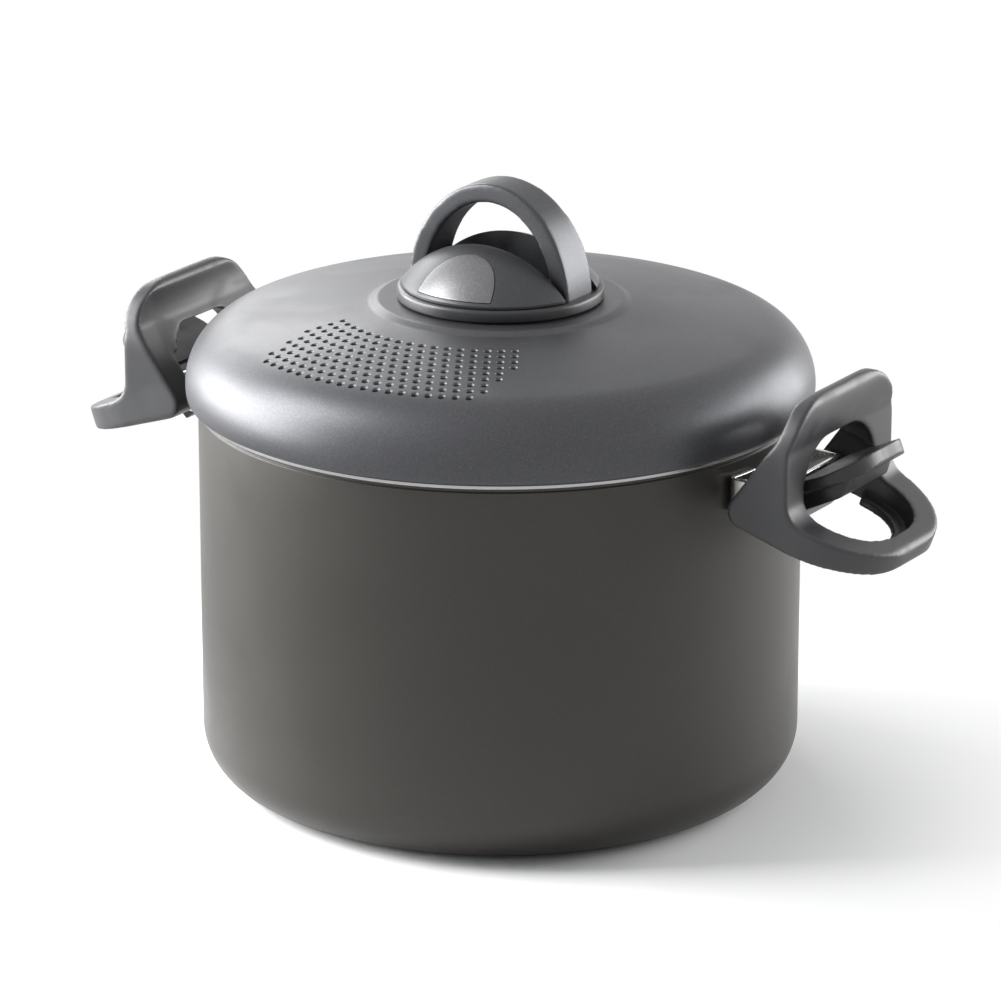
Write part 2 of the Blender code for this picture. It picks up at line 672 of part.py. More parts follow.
def crowned_top(top):
    """Front view of the bar's outer edge: two rounded corners joined by a gentle arch."""
    crown = FRAME_HALF_WIDTH * FRAME_HALF_WIDTH / (2.0 * BAR_BULGE)
    reach = FRAME_HALF_WIDTH - BAR_CORNER
    lean = math.degrees(math.asin(reach / (crown - BAR_CORNER)))
    corner_z = top - crown + math.sqrt((crown - BAR_CORNER) ** 2 - reach ** 2)
    right = arc((reach, corner_z), BAR_CORNER, 0.0, 90.0 - lean, 6)
    middle = arc((0.0, top - crown), crown, 90.0 - lean, 90.0 + lean, 4)[1:-1]
    return right + middle + [(-y, z) for y, z in reversed(right)]


def frame_mesh(cutters):
    """The locking frame round its pivot at (0, 0, 0): loop with an inner ledge, cheeks and bar."""
    body = prism("frame_body", frame_side_outline(), FRAME_HALF_WIDTH, SIDE_VIEW, cutters)
    far = 2.0 * LOOP_REACH
    bar_top = max(z for x, z in frame_side_outline())

    plan = rounded([
        (LOOP_REACH, -FRAME_HALF_WIDTH, LOOP_CORNER), (LOOP_REACH, FRAME_HALF_WIDTH, LOOP_CORNER),
        (-far, FRAME_HALF_WIDTH, 0.0), (-far, -FRAME_HALF_WIDTH, 0.0)], steps=7)
    plan_trim = prism("plan_trim", plan, far, tilted_plan(LOOP_ANGLE), cutters)
    boolean(body, plan_trim, "INTERSECT")

    front = [(-FRAME_HALF_WIDTH, -far), (FRAME_HALF_WIDTH, -far)] + crowned_top(bar_top + TOUCH_GAP)
    front_trim = prism("front_trim", front, far, FRONT_VIEW, cutters)
    boolean(body, front_trim, "INTERSECT")

    half = LOOP_THICKNESS / 2.0
    window = rounded([
        (OPENING_REACH, -OPENING_HALF_WIDTH, WINDOW_CORNER),
        (OPENING_REACH, OPENING_HALF_WIDTH, WINDOW_CORNER),
        (-half * 2.0, OPENING_HALF_WIDTH, 0.0), (-half * 2.0, -OPENING_HALF_WIDTH, 0.0)], steps=6)
    ledge_top = -half + LEDGE_HEIGHT
    window_depth = half * 1.5
    window_frame = tilted_plan(LOOP_ANGLE) @ Matrix.Translation((0, 0, ledge_top + window_depth))
    window_cut = prism("window_cut", window, window_depth, window_frame, cutters)
    boolean(body, window_cut)

    inner_end = OPENING_REACH - LEDGE_END_WIDTH
    hatch = rounded([
        (inner_end, -LEDGE_HALF_WIDTH, HATCH_CORNER), (inner_end, LEDGE_HALF_WIDTH, HATCH_CORNER),
        (CHEEK_REACH, LEDGE_HALF_WIDTH, 0.0), (CHEEK_REACH, OPENING_HALF_WIDTH, 0.0),
        (-half * 2.0, OPENING_HALF_WIDTH, 0.0), (-half * 2.0, -OPENING_HALF_WIDTH, 0.0),
        (CHEEK_REACH, -OPENING_HALF_WIDTH, 0.0), (CHEEK_REACH, -LEDGE_HALF_WIDTH, 0.0)], steps=5)
    hatch_cut = prism("hatch_cut", hatch, half * 1.4, tilted_plan(LOOP_ANGLE), cutters)
    boolean(body, hatch_cut)

    arch_low = bar_top - BAR_HEIGHT
    doorway = rounded([
        (-OPENING_HALF_WIDTH, -half, 0.0), (OPENING_HALF_WIDTH, -half, 0.0),
        (OPENING_HALF_WIDTH, arch_low, DOORWAY_CORNER),
        (-OPENING_HALF_WIDTH, arch_low, DOORWAY_CORNER)], steps=6)
    doorway_end = CHEEK_REACH + half * 0.6
    doorway_depth = doorway_end / 2.0 + half
    doorway_frame = Matrix.Translation((doorway_end - doorway_depth, 0, 0)) @ FRONT_VIEW
    doorway_cut = prism("doorway_cut", doorway, doorway_depth, doorway_frame, cutters)
    boolean(body, doorway_cut)

    used = [plan_trim, front_trim, window_cut, hatch_cut, doorway_cut]
    for sign in (-1.0, 1.0):
        start = (0.0, sign * (OPENING_HALF_WIDTH - half), 0.0)
        end = (0.0, sign * (FRAME_HALF_WIDTH - PIN_END_COVER), 0.0)
        socket = rod("pin_socket", PIN_RADIUS + TOUCH_GAP, start, end, cutters, 12)
        boolean(body, socket)
        used.append(socket)
    mesh = settle(body, used)
    smooth(mesh)
    return mesh


def leaf_mesh(cutters):
    """The fixed thumb leaf, about the pivot: a hollowed blade, its belly and a root that holds the strap."""
    half = LOOP_THICKNESS / 2.0
    rest = -half + LEDGE_HEIGHT + 2.0 * RUN_GAP
    start = CHEEK_REACH * 0.8
    top = rest + LEAF_THICKNESS
    angle = LEAF_ANGLE
    mid = (start + LEAF_REACH) / 2.0
    blade_line = [
        polar(angle, start, rest), polar(angle, LEAF_REACH - LEAF_UNDERCUT, rest),
        polar(angle, LEAF_REACH, top - LEAF_TIP), polar(angle, LEAF_REACH, top),
        polar(angle, LEAF_REACH * 0.86, top - LEAF_THICKNESS * 0.18),
        polar(angle, mid, top - LEAF_THICKNESS * 0.32), polar(angle, start, top - LEAF_THICKNESS * 0.36)]
    blade = prism("leaf_blade", blade_line, LEAF_HALF_WIDTH, SIDE_VIEW, cutters)
    plan = rounded([
        (LEAF_REACH, -LEAF_HALF_WIDTH, LEAF_CORNER), (LEAF_REACH, LEAF_HALF_WIDTH, LEAF_CORNER),
        (start * 0.9, LEAF_HALF_WIDTH, LEAF_CORNER * 0.4),
        (start * 0.9, -LEAF_HALF_WIDTH, LEAF_CORNER * 0.4)], steps=6)
    plan_trim = prism("leaf_plan", plan, LOOP_REACH, tilted_plan(angle), cutters)
    boolean(blade, plan_trim, "INTERSECT")

    face = PIVOT_INSET + TOUCH_GAP
    back = PIVOT_INSET - STRAP_THICKNESS - TOUCH_GAP
    sill = -STRAP_HEIGHT / 2.0 - TOUCH_GAP
    lip = sill + LEAF_LIP
    root_line = [
        (face, lip), (face, sill), (back, sill), (back, LEAF_BACK_HEIGHT),
        (back - LEAF_BACK_WALL, LEAF_BACK_HEIGHT),
        (back - LEAF_BACK_WALL, sill - LEAF_BELLY * 0.4), (back, sill - LEAF_BELLY * 0.9),
        polar(angle, start * 0.9, rest - LEAF_BELLY * 1.2), polar(angle, mid, rest - LEAF_BELLY),
        polar(angle, LEAF_REACH * 0.82, rest + TOUCH_GAP), polar(angle, mid, rest + LEAF_THICKNESS * 0.5),
        polar(angle, start * 1.1, rest + LEAF_THICKNESS * 0.5), polar(angle, start * 0.8, rest)]
    root = prism("leaf_root", root_line, LEAF_HALF_WIDTH, SIDE_VIEW, cutters)
    root_end = OPENING_REACH - LEDGE_END_WIDTH - LEAF_ROOT_GAP
    root_corner = HATCH_CORNER - LEAF_ROOT_GAP
    root_plan = rounded([
        (root_end, -LEAF_ROOT_HALF_WIDTH, root_corner), (root_end, LEAF_ROOT_HALF_WIDTH, root_corner),
        (-LOOP_REACH, LEAF_ROOT_HALF_WIDTH, 0.0), (-LOOP_REACH, -LEAF_ROOT_HALF_WIDTH, 0.0)], steps=6)
    root_trim = prism("root_plan", root_plan, LOOP_REACH, tilted_plan(angle), cutters)
    boolean(root, root_trim, "INTERSECT")
    belly = place("leaf_belly", settle(root, [root_trim]), cutters)
    boolean(blade, belly, "UNION")
    mesh = settle(blade, [plan_trim, belly])
    smooth(mesh)
    return mesh


def make_side(name, turn, group, cutters, shapes):
    """One handle: bracket, rivets, pins and leaf on the pot, and the locking frame on its axis."""
    side = bpy.data.objects.new(name + "_side", None)
    group.objects.link(side)
    side.rotation_euler = (0.0, 0.0, turn)
    place(name + "_bracket", shapes["strap"].copy(), group, MATERIALS["steel"], side)
    axis = bpy.data.objects.new(name + "_lock_axis", None)
    group.objects.link(axis)
    axis.parent = side
    axis.location = (PIVOT_X, 0.0, PIVOT_Z)
    place(name + "_thumb_leaf", shapes["leaf"].copy(), group, MATERIALS["handle"], axis)
    place(name + "_locking_frame", shapes["frame"].copy(), group, MATERIALS["handle"], axis)
    for end, sign in (("front", -1.0), ("rear", 1.0)):
        if turn:
            end = "rear" if end == "front" else "front"
        place(name + "_pin_" + end, shapes["pin", sign].copy(), group, MATERIALS["steel"], axis)
        rivet = place(name + "_rivet_" + end, shapes["rivet"].copy(), group, MATERIALS["aluminium"], side)
        rivet.location = (0.0, 0.0, PIVOT_Z)
        rivet.rotation_euler = (0.0, 0.0, math.radians(sign * rivet_angle()))


MATERIALS = {}


def main():
    clear_scene()
    group = new_collection("colander_pot")
    cutters = new_collection("cutters")
    MATERIALS["pot"] = principled("satin_dark_coating", (0.080, 0.078, 0.072), 0.45, 0.6)
    MATERIALS["lid"] = principled("graphite_coating", (0.075, 0.076, 0.082), 0.40, 0.6)
    MATERIALS["knob"] = principled("graphite_plastic", (0.055, 0.055, 0.058), 0.45, 0.3)
    MATERIALS["inlay"] = principled("silvery_plastic", (0.110, 0.110, 0.112), 0.40, 0.5)
    MATERIALS["handle"] = principled("black_plastic", (0.022, 0.023, 0.026), 0.55, 0.0)
    MATERIALS["steel"] = principled("polished_steel", (0.78, 0.77, 0.75), 0.15, 1.0)
    MATERIALS["aluminium"] = principled("bare_aluminium", (0.80, 0.80, 0.81), 0.30, 1.0)
    make_pot(group, cutters)
    lid_axis = bpy.data.objects.new("lid_lift_axis", None)
    group.objects.link(lid_axis)
    make_lid(group, cutters, lid_axis)
    make_knob(group, cutters, lid_axis)
    shapes = {
        "strap": strap_mesh(cutters), "rivet": rivet_mesh(cutters), "leaf": leaf_mesh(cutters),
        "frame": frame_mesh(cutters)}
    for sign in (-1.0, 1.0):
        shapes["pin", sign] = pin_mesh(cutters, sign)
    make_side("right", 0.0, group, cutters, shapes)
    make_side("left", math.pi, group, cutters, shapes)
    bpy.context.view_layer.update()


main()
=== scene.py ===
"""The looks of a colander pot: its visible pieces, their finishes, and a plain studio.

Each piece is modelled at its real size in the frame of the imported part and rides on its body.
"""

import json
import math

import bpy
from bpy.props import FloatProperty, FloatVectorProperty, IntProperty, PointerProperty
from mathutils import Matrix, Vector


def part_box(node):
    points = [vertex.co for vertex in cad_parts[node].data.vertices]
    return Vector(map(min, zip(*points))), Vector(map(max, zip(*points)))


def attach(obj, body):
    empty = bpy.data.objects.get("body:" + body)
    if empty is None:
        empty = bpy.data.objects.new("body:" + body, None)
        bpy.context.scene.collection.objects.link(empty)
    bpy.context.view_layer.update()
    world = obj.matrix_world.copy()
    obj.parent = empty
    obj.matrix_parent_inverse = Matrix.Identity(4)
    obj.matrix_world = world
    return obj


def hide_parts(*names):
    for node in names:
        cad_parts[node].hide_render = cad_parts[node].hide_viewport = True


bl_info = {
    "name": "Colander Pot",
    "version": (1, 0, 0),
    "blender": (4, 5, 0),
    "location": "View3D > Sidebar > Colander Pot",
    "description": "Models the pieces of a colander pot with a locking strainer lid",
    "category": "Add Mesh",
}

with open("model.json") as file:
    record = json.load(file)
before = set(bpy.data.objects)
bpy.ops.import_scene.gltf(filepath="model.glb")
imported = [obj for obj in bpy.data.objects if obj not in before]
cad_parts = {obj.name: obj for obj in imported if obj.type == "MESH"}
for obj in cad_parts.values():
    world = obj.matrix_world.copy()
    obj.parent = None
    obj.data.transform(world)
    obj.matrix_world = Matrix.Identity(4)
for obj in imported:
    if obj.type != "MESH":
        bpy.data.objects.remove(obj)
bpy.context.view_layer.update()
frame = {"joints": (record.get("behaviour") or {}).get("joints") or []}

POT_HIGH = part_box("pot_body")[1]
LID_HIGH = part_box("lid")[1]
STRAP_LOW, STRAP_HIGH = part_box("right_bracket")
KNOB_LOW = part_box("knob_base")[0]
PIVOT = next(Vector(joint["pos_m"]) for joint in frame["joints"] if joint["child"] == "right_lock")
LOCK_ANGLE = math.radians(42.0)

# Small forms of the pieces, in metres. The larger sizes are in the property groups below.
# Gaps between pieces that touch and pieces that run in one another, and a reach clear of any handle
GAP = 0.0003
RUN_GAP = 0.0006
CLEAR = 0.12

# The pot: fillets of the rim band, the groove under it, the turned base and what is bare
RIM_EDGE = 0.0008
BAND_EDGE = 0.0009
GROOVE = 0.0006
GROOVE_TOP, GROOVE_LOW, GROOVE_END = 0.0004, 0.0014, 0.0020
BASE_ROLL = 0.0015
BASE_RING = 0.006
BASE_RECESS = 0.0004
RECESS_SLOPE = 0.0006
CENTRE_PAD = 0.030
BARE_RIM = 0.0010
BARE_BASE = 0.0008
BARE_MARGIN = 0.0002

# The lid: its collar, lap and skirt, and the drill, as (how much wider than the hole, height)
SCREW_BORE = 0.0031
COLLAR_FLAT = 0.020
COLLAR_SLOPE = 0.003
COLLAR_FILLET = 0.004
RIM_WIDTH = 0.005
LID_LAP = 0.0018
LID_EDGE = 0.0006
SKIRT_WALL = 0.0018
DRILL_DEPTH = 0.008
DRILL_HEAD = ((0.0023, 0.002), (0.00035, 0.00005), (0.0001, -0.0002), (0.0, -0.0005))

# The knob
RING_TOP_EDGE, RING_LOW_EDGE = 0.0014, 0.001
DOME_INSET = 0.002
DOME_EDGE = 0.001
ARCH_FLARE = 0.002
ARCH_TAPER_RISE = 0.006
ARCH_CUT_FALL = 0.01
WEB_HALF_WIDTH = 0.0092
WEB_EDGE = 0.001
TROUGH = 0.0023
INLAY_DEPTH = 0.0023
INLAY_PROUD = 0.0002
FRONT_INLAY_Y = -0.036
REAR_INLAY_Y = 0.052
KEEP_HALF, CUT_TOP = 0.05, 0.08

# The handles: strap, frame, and the leaf with its clip round the strap's lower edge and its root
FOOT_BEND = 0.003
FOOT_BEND_ROOM = 0.006
BAR_GAP = 0.001
CHEEK_REACH = 0.0185
LEDGE_HEIGHT = 0.0045
LEDGE_WIDTH = 0.006
LEDGE_END_WIDTH = 0.0045
LEDGE_CORNER = 0.003
LEAF_SEAT_GAP = 0.0012
LEAF_SIDE_GAP = 0.0035
LEAF_END_GAP = 0.002
CLIP_LIP = 0.0025
CLIP_TOP = 0.006
CLIP_THICKNESS = 0.004
CLIP_HEEL = 0.0024
CLIP_TOE = 0.0054
ROOT_HEEL = 0.0072
ROOT_MIDDLE = 0.006
ROOT_SIDE_GAP = 0.004
ROOT_END_GAP = 0.006
ROOT_CORNER_CUT = 0.0045

# The fasteners: radii, then places along a rivet from its middle, then the screw's crossed recess
RIVET_SHANK, RIVET_HEAD, RIVET_HEAD_TOP = 0.0026, 0.0055, 0.0036
RIVET_TAIL, RIVET_TAIL_TOP = 0.0045, 0.0030
RIVET_LEVELS = (0.0056, 0.0036, -0.0024, -0.0040, -0.0042)
PIN_HEAD, PIN_HEAD_TOP, PIN_HEAD_HEIGHT = 0.0034, 0.0030, 0.0015
SCREW_SHANK, SCREW_HEAD_TOP, SCREW_HEAD_EDGE = 0.0025, 0.0024, 0.0014
RECESS_LENGTH, RECESS_WIDTH, RECESS_DEPTH = 0.006, 0.0005, 0.0007

# Directions in degrees: the lid's in its half section, the frame's and the leaf's in the side view
SHOULDER_TOP, SHOULDER_LOW, SHOULDER_INSIDE = 79.5, -8.0, 6.0
COLLAR_PITCH = 6.0
LOOP_ANGLE = -20.0
LEAF_ANGLE = LOOP_ANGLE + math.degrees(LOCK_ANGLE)
BOSS_LEAN = 75.0
BAR_START, BAR_END = 20.0, 53.0
BAR_EASE = 4.0
BAR_END_EASE = 5.0

# Steps round a small turned piece, and the grain and softening of the moulded pieces
KNOB_STEPS, DOME_STEPS, ARCH_STEPS, INLAY_SIDES = 128, 28, 48, 96
DRILL_SIDES, FASTENER_SIDES, SCREW_SIDES, WASHER_SIDES = 16, 32, 40, 48
ARCH_MOULD = (0.0005, 40)
FRAME_MOULD = (0.0007, 16)
LEAF_MOULD = (0.0005, 12)

# Soft lights: name, place, size in metres and power in watts
LIGHTS = (
    ("key_light", (-1.2, -0.65, 1.15), (0.8, 0.8), 33.0),
    ("left_light", (-1.35, -0.40, 0.40), (1.4, 0.7), 54.0),
    ("right_light", (0.85, 1.1, 0.42), (1.3, 0.8), 25.0),
    ("back_light", (-1.35, 0.85, 0.85), (1.1, 0.6), 12.0))
LIGHT_TARGET = (0.0, 0.0, 0.13)
VIEW_TARGET = (0.0, 0.0, 0.112)
SENSOR_WIDTH = 36.0
FLOOR_SIZE = 12.0
FADE_START, FADE_END = 0.12, 0.28
FLOOR_COLOUR = (0.93, 0.93, 0.93, 1.0)
ROOM_COLOUR = (0.96, 0.98, 1.0, 1.0)
ROOM_STRENGTH = 0.28
WHITE = (1.0, 1.0, 1.0, 1.0)


def length(text, value):
    """A size that a user may change, in metres."""
    return FloatProperty(description=text, default=value, unit="LENGTH", precision=4)


def number(text, value):
    return IntProperty(description=text, default=value, min=1)


def direction(text, degrees):
    return FloatProperty(description=text, default=math.radians(degrees), subtype="ANGLE", unit="ROTATION")


def colour(text, value):
    return FloatVectorProperty(description=text, default=value, subtype="COLOR", size=3, min=0.0, max=1.0)


class PotSizes(bpy.types.PropertyGroup):
    """Sizes of the pot."""
    radius: length("Outer radius of the wall", 0.120)
    wall: length("Thickness of the wall", 0.0035)
    floor: length("Thickness of the floor", 0.006)
    base_corner: length("Radius of the rounded base corner", 0.022)
    rim_overhang: length("How far the rim band stands out", 0.0014)
    rim_band: length("Height of the rim band", 0.0045)
    bare_line: length("Height of the bare lower edge of the rim band", 0.0014)
    turn_steps: number("Steps round the pot", 180)


class LidSizes(bpy.types.PropertyGroup):
    """Sizes of the lid and its holes."""
    shoulder: length("Radius of the rounded shoulder", 0.025)
    shoulder_lift: length("Height of the shoulder's centre over the rim", 0.003)
    sheet: length("Thickness of the lid", 0.0025)
    skirt: length("Depth of the skirt inside the rim", 0.007)
    collar: length("Radius of the raised collar", 0.052)
    hole: length("Diameter of a drain hole", 0.0027)
    hole_row: length("Radius of the first row of holes", 0.066)
    row_pitch: length("Distance between rows", 0.0051)
    hole_pitch: length("Distance along a row", 0.0053)
    rows: number("Rows of holes", 9)
    first_count: number("Holes in the first row", 17)
    most: number("Most holes in a row", 20)


class KnobSizes(bpy.types.PropertyGroup):
    """Sizes of the knob."""
    radius: length("Radius of the base ring", 0.041)
    ring: length("Height of the base ring", 0.005)
    dome: length("Height of the dome", 0.0185)
    half_span: length("Half the width of the arch", 0.037)
    arch: length("Height of the arch over the lid", 0.047)
    arch_thickness: length("Thickness of the arch", 0.0075)
    arch_width: length("Width of the arch at its top", 0.016)
    foot_width: length("Width of the arch at its feet", 0.019)
    front_inlay: length("Radius of the front inlay", 0.017)
    rear_inlay: length("Radius of the rear inlay", 0.030)


class HandleSizes(bpy.types.PropertyGroup):
    """Sizes of the brackets, leaves and frames."""
    strap: length("Thickness of the steel strap", 0.002)
    strap_bend: length("Bend radius of the strap", 0.003)
    foot: length("Length of the strap's feet on the wall", 0.017)
    half_width: length("Half the width of a frame", 0.0425)
    cheek: length("Thickness of a frame's cheeks", 0.0145)
    loop: length("Thickness of the grip loop at its pivot", 0.013)
    loop_tip: length("Thickness of the grip loop at its end", 0.009)
    loop_reach: length("Length of the loop from its pivot", 0.056)
    loop_end: length("Width of the loop's end", 0.0095)
    loop_corner: length("Corner radius of the loop", 0.036)
    window_corner: length("Corner radius inside the loop", 0.022)
    bar: length("Thickness of the lid bar", 0.007)
    bar_depth: length("Width of the lid bar", 0.019)
    bar_corner: length("Corner radius of the lid bar", 0.024)
    bar_bulge: length("Rise of the bar's arched edge", 0.004)
    doorway_corner: length("Corner radius under the bar", 0.020)
    leaf: length("Thickness of the thumb leaf", 0.007)
    leaf_corner: length("Corner radius of the leaf", 0.018)
    leaf_tip: length("Thickness of the leaf's end", 0.0055)
    leaf_undercut: length("How far the leaf's end stands over", 0.003)
    pin: length("Radius of a pivot pin", 0.0025)


class Finishes(bpy.types.PropertyGroup):
    """Colours of the finishes."""
    pot_coat: colour("Dark coating of the pot", (0.040, 0.038, 0.034))
    lid_coat: colour("Graphite coating of the lid", (0.066, 0.067, 0.073))
    knob: colour("Painted plastic of the knob", (0.058, 0.059, 0.064))
    inlay: colour("Silvery inlay of the knob", (0.150, 0.150, 0.155))
    plastic: colour("Black plastic of the handles", (0.031, 0.0315, 0.034))
    steel: colour("Polished steel", (0.72, 0.71, 0.69))
    bare: colour("Bare aluminium of the rim and the base", (0.42, 0.42, 0.43))


class StageSettings(bpy.types.PropertyGroup):
    """The camera and the light."""
    azimuth: direction("Camera's turn round the pot", 32.0)
    elevation: direction("Camera's height angle", 18.0)
    distance: length("Camera's distance from the pot's middle", 2.2)
    view_width: length("Width of the view at the pot's middle", 0.400)


# Drawing and shaping helpers

def clear_selection():
    if bpy.context.object and bpy.context.object.mode != "OBJECT":
        bpy.ops.object.mode_set(mode="OBJECT")
    bpy.ops.object.select_all(action="DESELECT")


def make_active(item):
    clear_selection()
    item.select_set(True)
    bpy.context.view_layer.objects.active = item


def draw(points):
    """A line drawn in edit mode, one extruded point after another."""
    clear_selection()
    bpy.ops.mesh.primitive_plane_add(size=0.01, location=points[0])
    bpy.ops.object.mode_set(mode="EDIT")
    bpy.ops.mesh.select_all(action="SELECT")
    bpy.ops.mesh.merge(type="CENTER")
    here = Vector(points[0])
    for point in points[1:]:
        bpy.ops.mesh.extrude_vertices_move(TRANSFORM_OT_translate={"value": Vector(point) - here})
        here = Vector(point)
    bpy.ops.mesh.select_all(action="SELECT")
    return bpy.context.object


def finish_drawing():
    """Make the normals point outwards, leave edit mode and apply the item's place to its mesh."""
    bpy.ops.mesh.select_all(action="SELECT")
    bpy.ops.mesh.normals_make_consistent(inside=False)
    bpy.ops.object.mode_set(mode="OBJECT")
    bpy.ops.object.transform_apply(location=True, rotation=True, scale=True)


def turned(profile, steps, closed=False):
    """A body turned round Z from a profile of (radius, height) points."""
    line = profile + profile[:1] if closed else profile
    item = draw([(radius, 0.0, height) for radius, height in line])
    bpy.ops.mesh.spin(steps=steps, angle=math.tau, center=(0, 0, 0), axis=(0, 0, 1))
    bpy.ops.mesh.select_all(action="SELECT")
    bpy.ops.mesh.remove_doubles(threshold=0.000005)
    finish_drawing()
    return item


def slab(outline, half, matrix):
    """A flat outline made a solid of a given half thickness, in a frame given by a matrix."""
    low = [matrix @ Vector((x, y, -half)) for x, y in outline]
    thick = matrix.to_3x3() @ Vector((0.0, 0.0, 2.0 * half))
    item = draw(low + low[:1])
    bpy.ops.mesh.remove_doubles(threshold=0.000002)
    bpy.ops.mesh.edge_face_add()
    bpy.ops.mesh.extrude_region_move(TRANSFORM_OT_translate={"value": thick})
    finish_drawing()
    return item


def cylinder(radius, start, end, sides):
    start, end = Vector(start), Vector(end)
    axis = end - start
    clear_selection()
    bpy.ops.mesh.primitive_cylinder_add(
        vertices=sides, radius=radius, depth=axis.length, location=(start + end) / 2.0,
        rotation=axis.to_track_quat("Z", "Y").to_euler())
    bpy.ops.object.transform_apply(location=True, rotation=True, scale=True)
    return bpy.context.object


def apply_modifier(item, kind, **settings):
    """Change an item with a modifier of a kind and settings, which is applied at once."""
    step = item.modifiers.new(kind, kind)
    for key, value in settings.items():
        setattr(step, key, value)
    make_active(item)
    bpy.ops.object.modifier_apply(modifier=step.name)


def carve(item, cutter, operation="DIFFERENCE"):
    """Cut, join or keep with another solid, which is used up."""
    apply_modifier(item, "BOOLEAN", operation=operation, solver="EXACT", object=cutter)
    bpy.data.objects.remove(cutter, do_unlink=True)


def round_edges(item, width, segments, angle):
    """Round the edges that are sharper than an angle in degrees."""
    apply_modifier(item, "BEVEL", width=width, segments=segments, limit_method="ANGLE",
                   angle_limit=math.radians(angle), use_clamp_overlap=True, harden_normals=False)


def mould(item, grain, passes):
    """Even the skin out and soften every edge, as on a moulded piece."""
    apply_modifier(item, "REMESH", mode="VOXEL", voxel_size=grain, use_smooth_shade=True)
    apply_modifier(item, "SMOOTH", factor=0.5, iterations=passes)


def moved_copy(item, matrix):
    """A copy with its own mesh, turned or moved in the mesh itself."""
    other = item.copy()
    other.data = item.data.copy()
    bpy.context.collection.objects.link(other)
    other.data.transform(matrix)
    return other


def finish_piece(item, angle, name, body, node, slot, *finishes):
    """Smooth, name and dress a piece, and set it on its body in place of its solid."""
    make_active(item)
    bpy.ops.object.shade_smooth_by_angle(angle=math.radians(angle))
    item.name = name
    item.data.name = name
    item.data.materials.clear()
    for finish in finishes:
        item.data.materials.append(MATERIALS[finish])
    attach(item, body)
    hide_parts(node)


def finish_pair(item, angle, piece, bodies, node, slot, finish):
    """Finish a right-hand piece and its half-turned copy on the left."""
    for side, one, body in zip(("right_", "left_"), (item, moved_copy(item, HALF_TURN)), bodies):
        finish_piece(one, angle, side + piece, body, side + node, slot, finish)


def arc(centre, radius, start, end, steps):
    points = []
    for k in range(steps + 1):
        angle = math.radians(start + (end - start) * k / steps)
        points.append((centre[0] + radius * math.cos(angle), centre[1] + radius * math.sin(angle)))
    return points


def rounded(corners, steps=8, cyclic=True):
    """Points of an outline with corners (x, y) or filleted corners (x, y, radius)."""
    points = []
    last = len(corners) - 1
    for i, (x, y, *fillet) in enumerate(corners):
        here = Vector((x, y))
        radius = fillet[0] if fillet else 0.0
        if radius == 0.0 or (not cyclic and i in (0, last)):
            points.append((x, y))
            continue
        before = Vector(corners[i - 1][:2]) - here
        after = Vector(corners[i + 1 if i < last else 0][:2]) - here
        half = before.angle(after) / 2.0
        start = here + before.normalized() * radius / math.tan(half)
        middle = here + (before.normalized() + after.normalized()).normalized() * radius / math.sin(half)
        spoke = start - middle
        turn = (math.pi - 2.0 * half) * (1.0 if before.cross(after) < 0.0 else -1.0)
        for k in range(steps + 1):
            arm = spoke.copy()
            arm.rotate(Matrix.Rotation(turn * k / steps, 2))
            points.append(tuple(middle + arm))
    return points


def oblong(x, y, radius=0.0):
    """Outline of a rectangle of a half length and a half width, with rounded corners."""
    return rounded([(-x, -y, radius), (x, -y, radius), (x, y, radius), (-x, y, radius)])


def tongue(end, half, corner, back, back_corner=0.0, steps=12):
    """Outline of a strip along X with rounded corners at its end, and at its back if they are given."""
    return rounded([(end, -half, corner), (end, half, corner),
                    (back, half, back_corner), (back, -half, back_corner)], steps)


SIDE_VIEW = Matrix(((1, 0, 0, 0), (0, 0, -1, 0), (0, 1, 0, 0), (0, 0, 0, 1)))
FRONT_VIEW = Matrix(((0, 0, 1, 0), (1, 0, 0, 0), (0, 1, 0, 0), (0, 0, 0, 1)))
HALF_TURN = Matrix.Rotation(math.pi, 4, "Z")


def polar(angle, along, across):
    """A side-view point that lies along a direction in degrees, and across it."""
    cosine, sine = math.cos(math.radians(angle)), math.sin(math.radians(angle))
    return along * cosine - across * sine, along * sine + across * cosine


# Node groups and finishes

def new_group(name, scales, masks):
    """A node group that reads a vector and some scales, and puts out masks and heights."""
    group = bpy.data.node_groups.new(name, "ShaderNodeTree")
    group.interface.new_socket("Vector", in_out="INPUT", socket_type="NodeSocketVector")
    for label, value in scales.items():
        socket = group.interface.new_socket(label, in_out="INPUT", socket_type="NodeSocketFloat")
        socket.default_value = value
    for label in masks:
        group.interface.new_socket(label, in_out="OUTPUT", socket_type="NodeSocketFloat")
    return group, group.nodes.new("NodeGroupInput").outputs, group.nodes.new("NodeGroupOutput")


def add(tree, kind, **values):
    node = tree.nodes.new(kind)
    for key, value in values.items():
        setattr(node, key, value)
    return node


def feed(tree, node, **inputs):
    """Link or set the inputs of a node, named with underscores for spaces."""
    for key, value in inputs.items():
        socket = node.inputs[key.replace("_", " ")]
        if isinstance(value, bpy.types.NodeSocket):
            tree.links.new(value, socket)
        else:
            socket.default_value = value
    return node


def remap(tree, source, low, high, new_low=0.0, new_high=1.0):
    node = add(tree, "ShaderNodeMapRange", interpolation_type="SMOOTHSTEP")
    feed(tree, node, Value=source, From_Min=low, From_Max=high, To_Min=new_low, To_Max=new_high)
    return node.outputs["Result"]


def noise(tree, **inputs):
    return feed(tree, add(tree, "ShaderNodeTexNoise"), **inputs).outputs["Fac"]


def stretched(tree, vector, stretch):
    """A vector whose parts are multiplied by the parts of another."""
    node = add(tree, "ShaderNodeVectorMath", operation="MULTIPLY")
    node.inputs[1].default_value = stretch
    tree.links.new(vector, node.inputs[0])
    return node.outputs["Vector"]


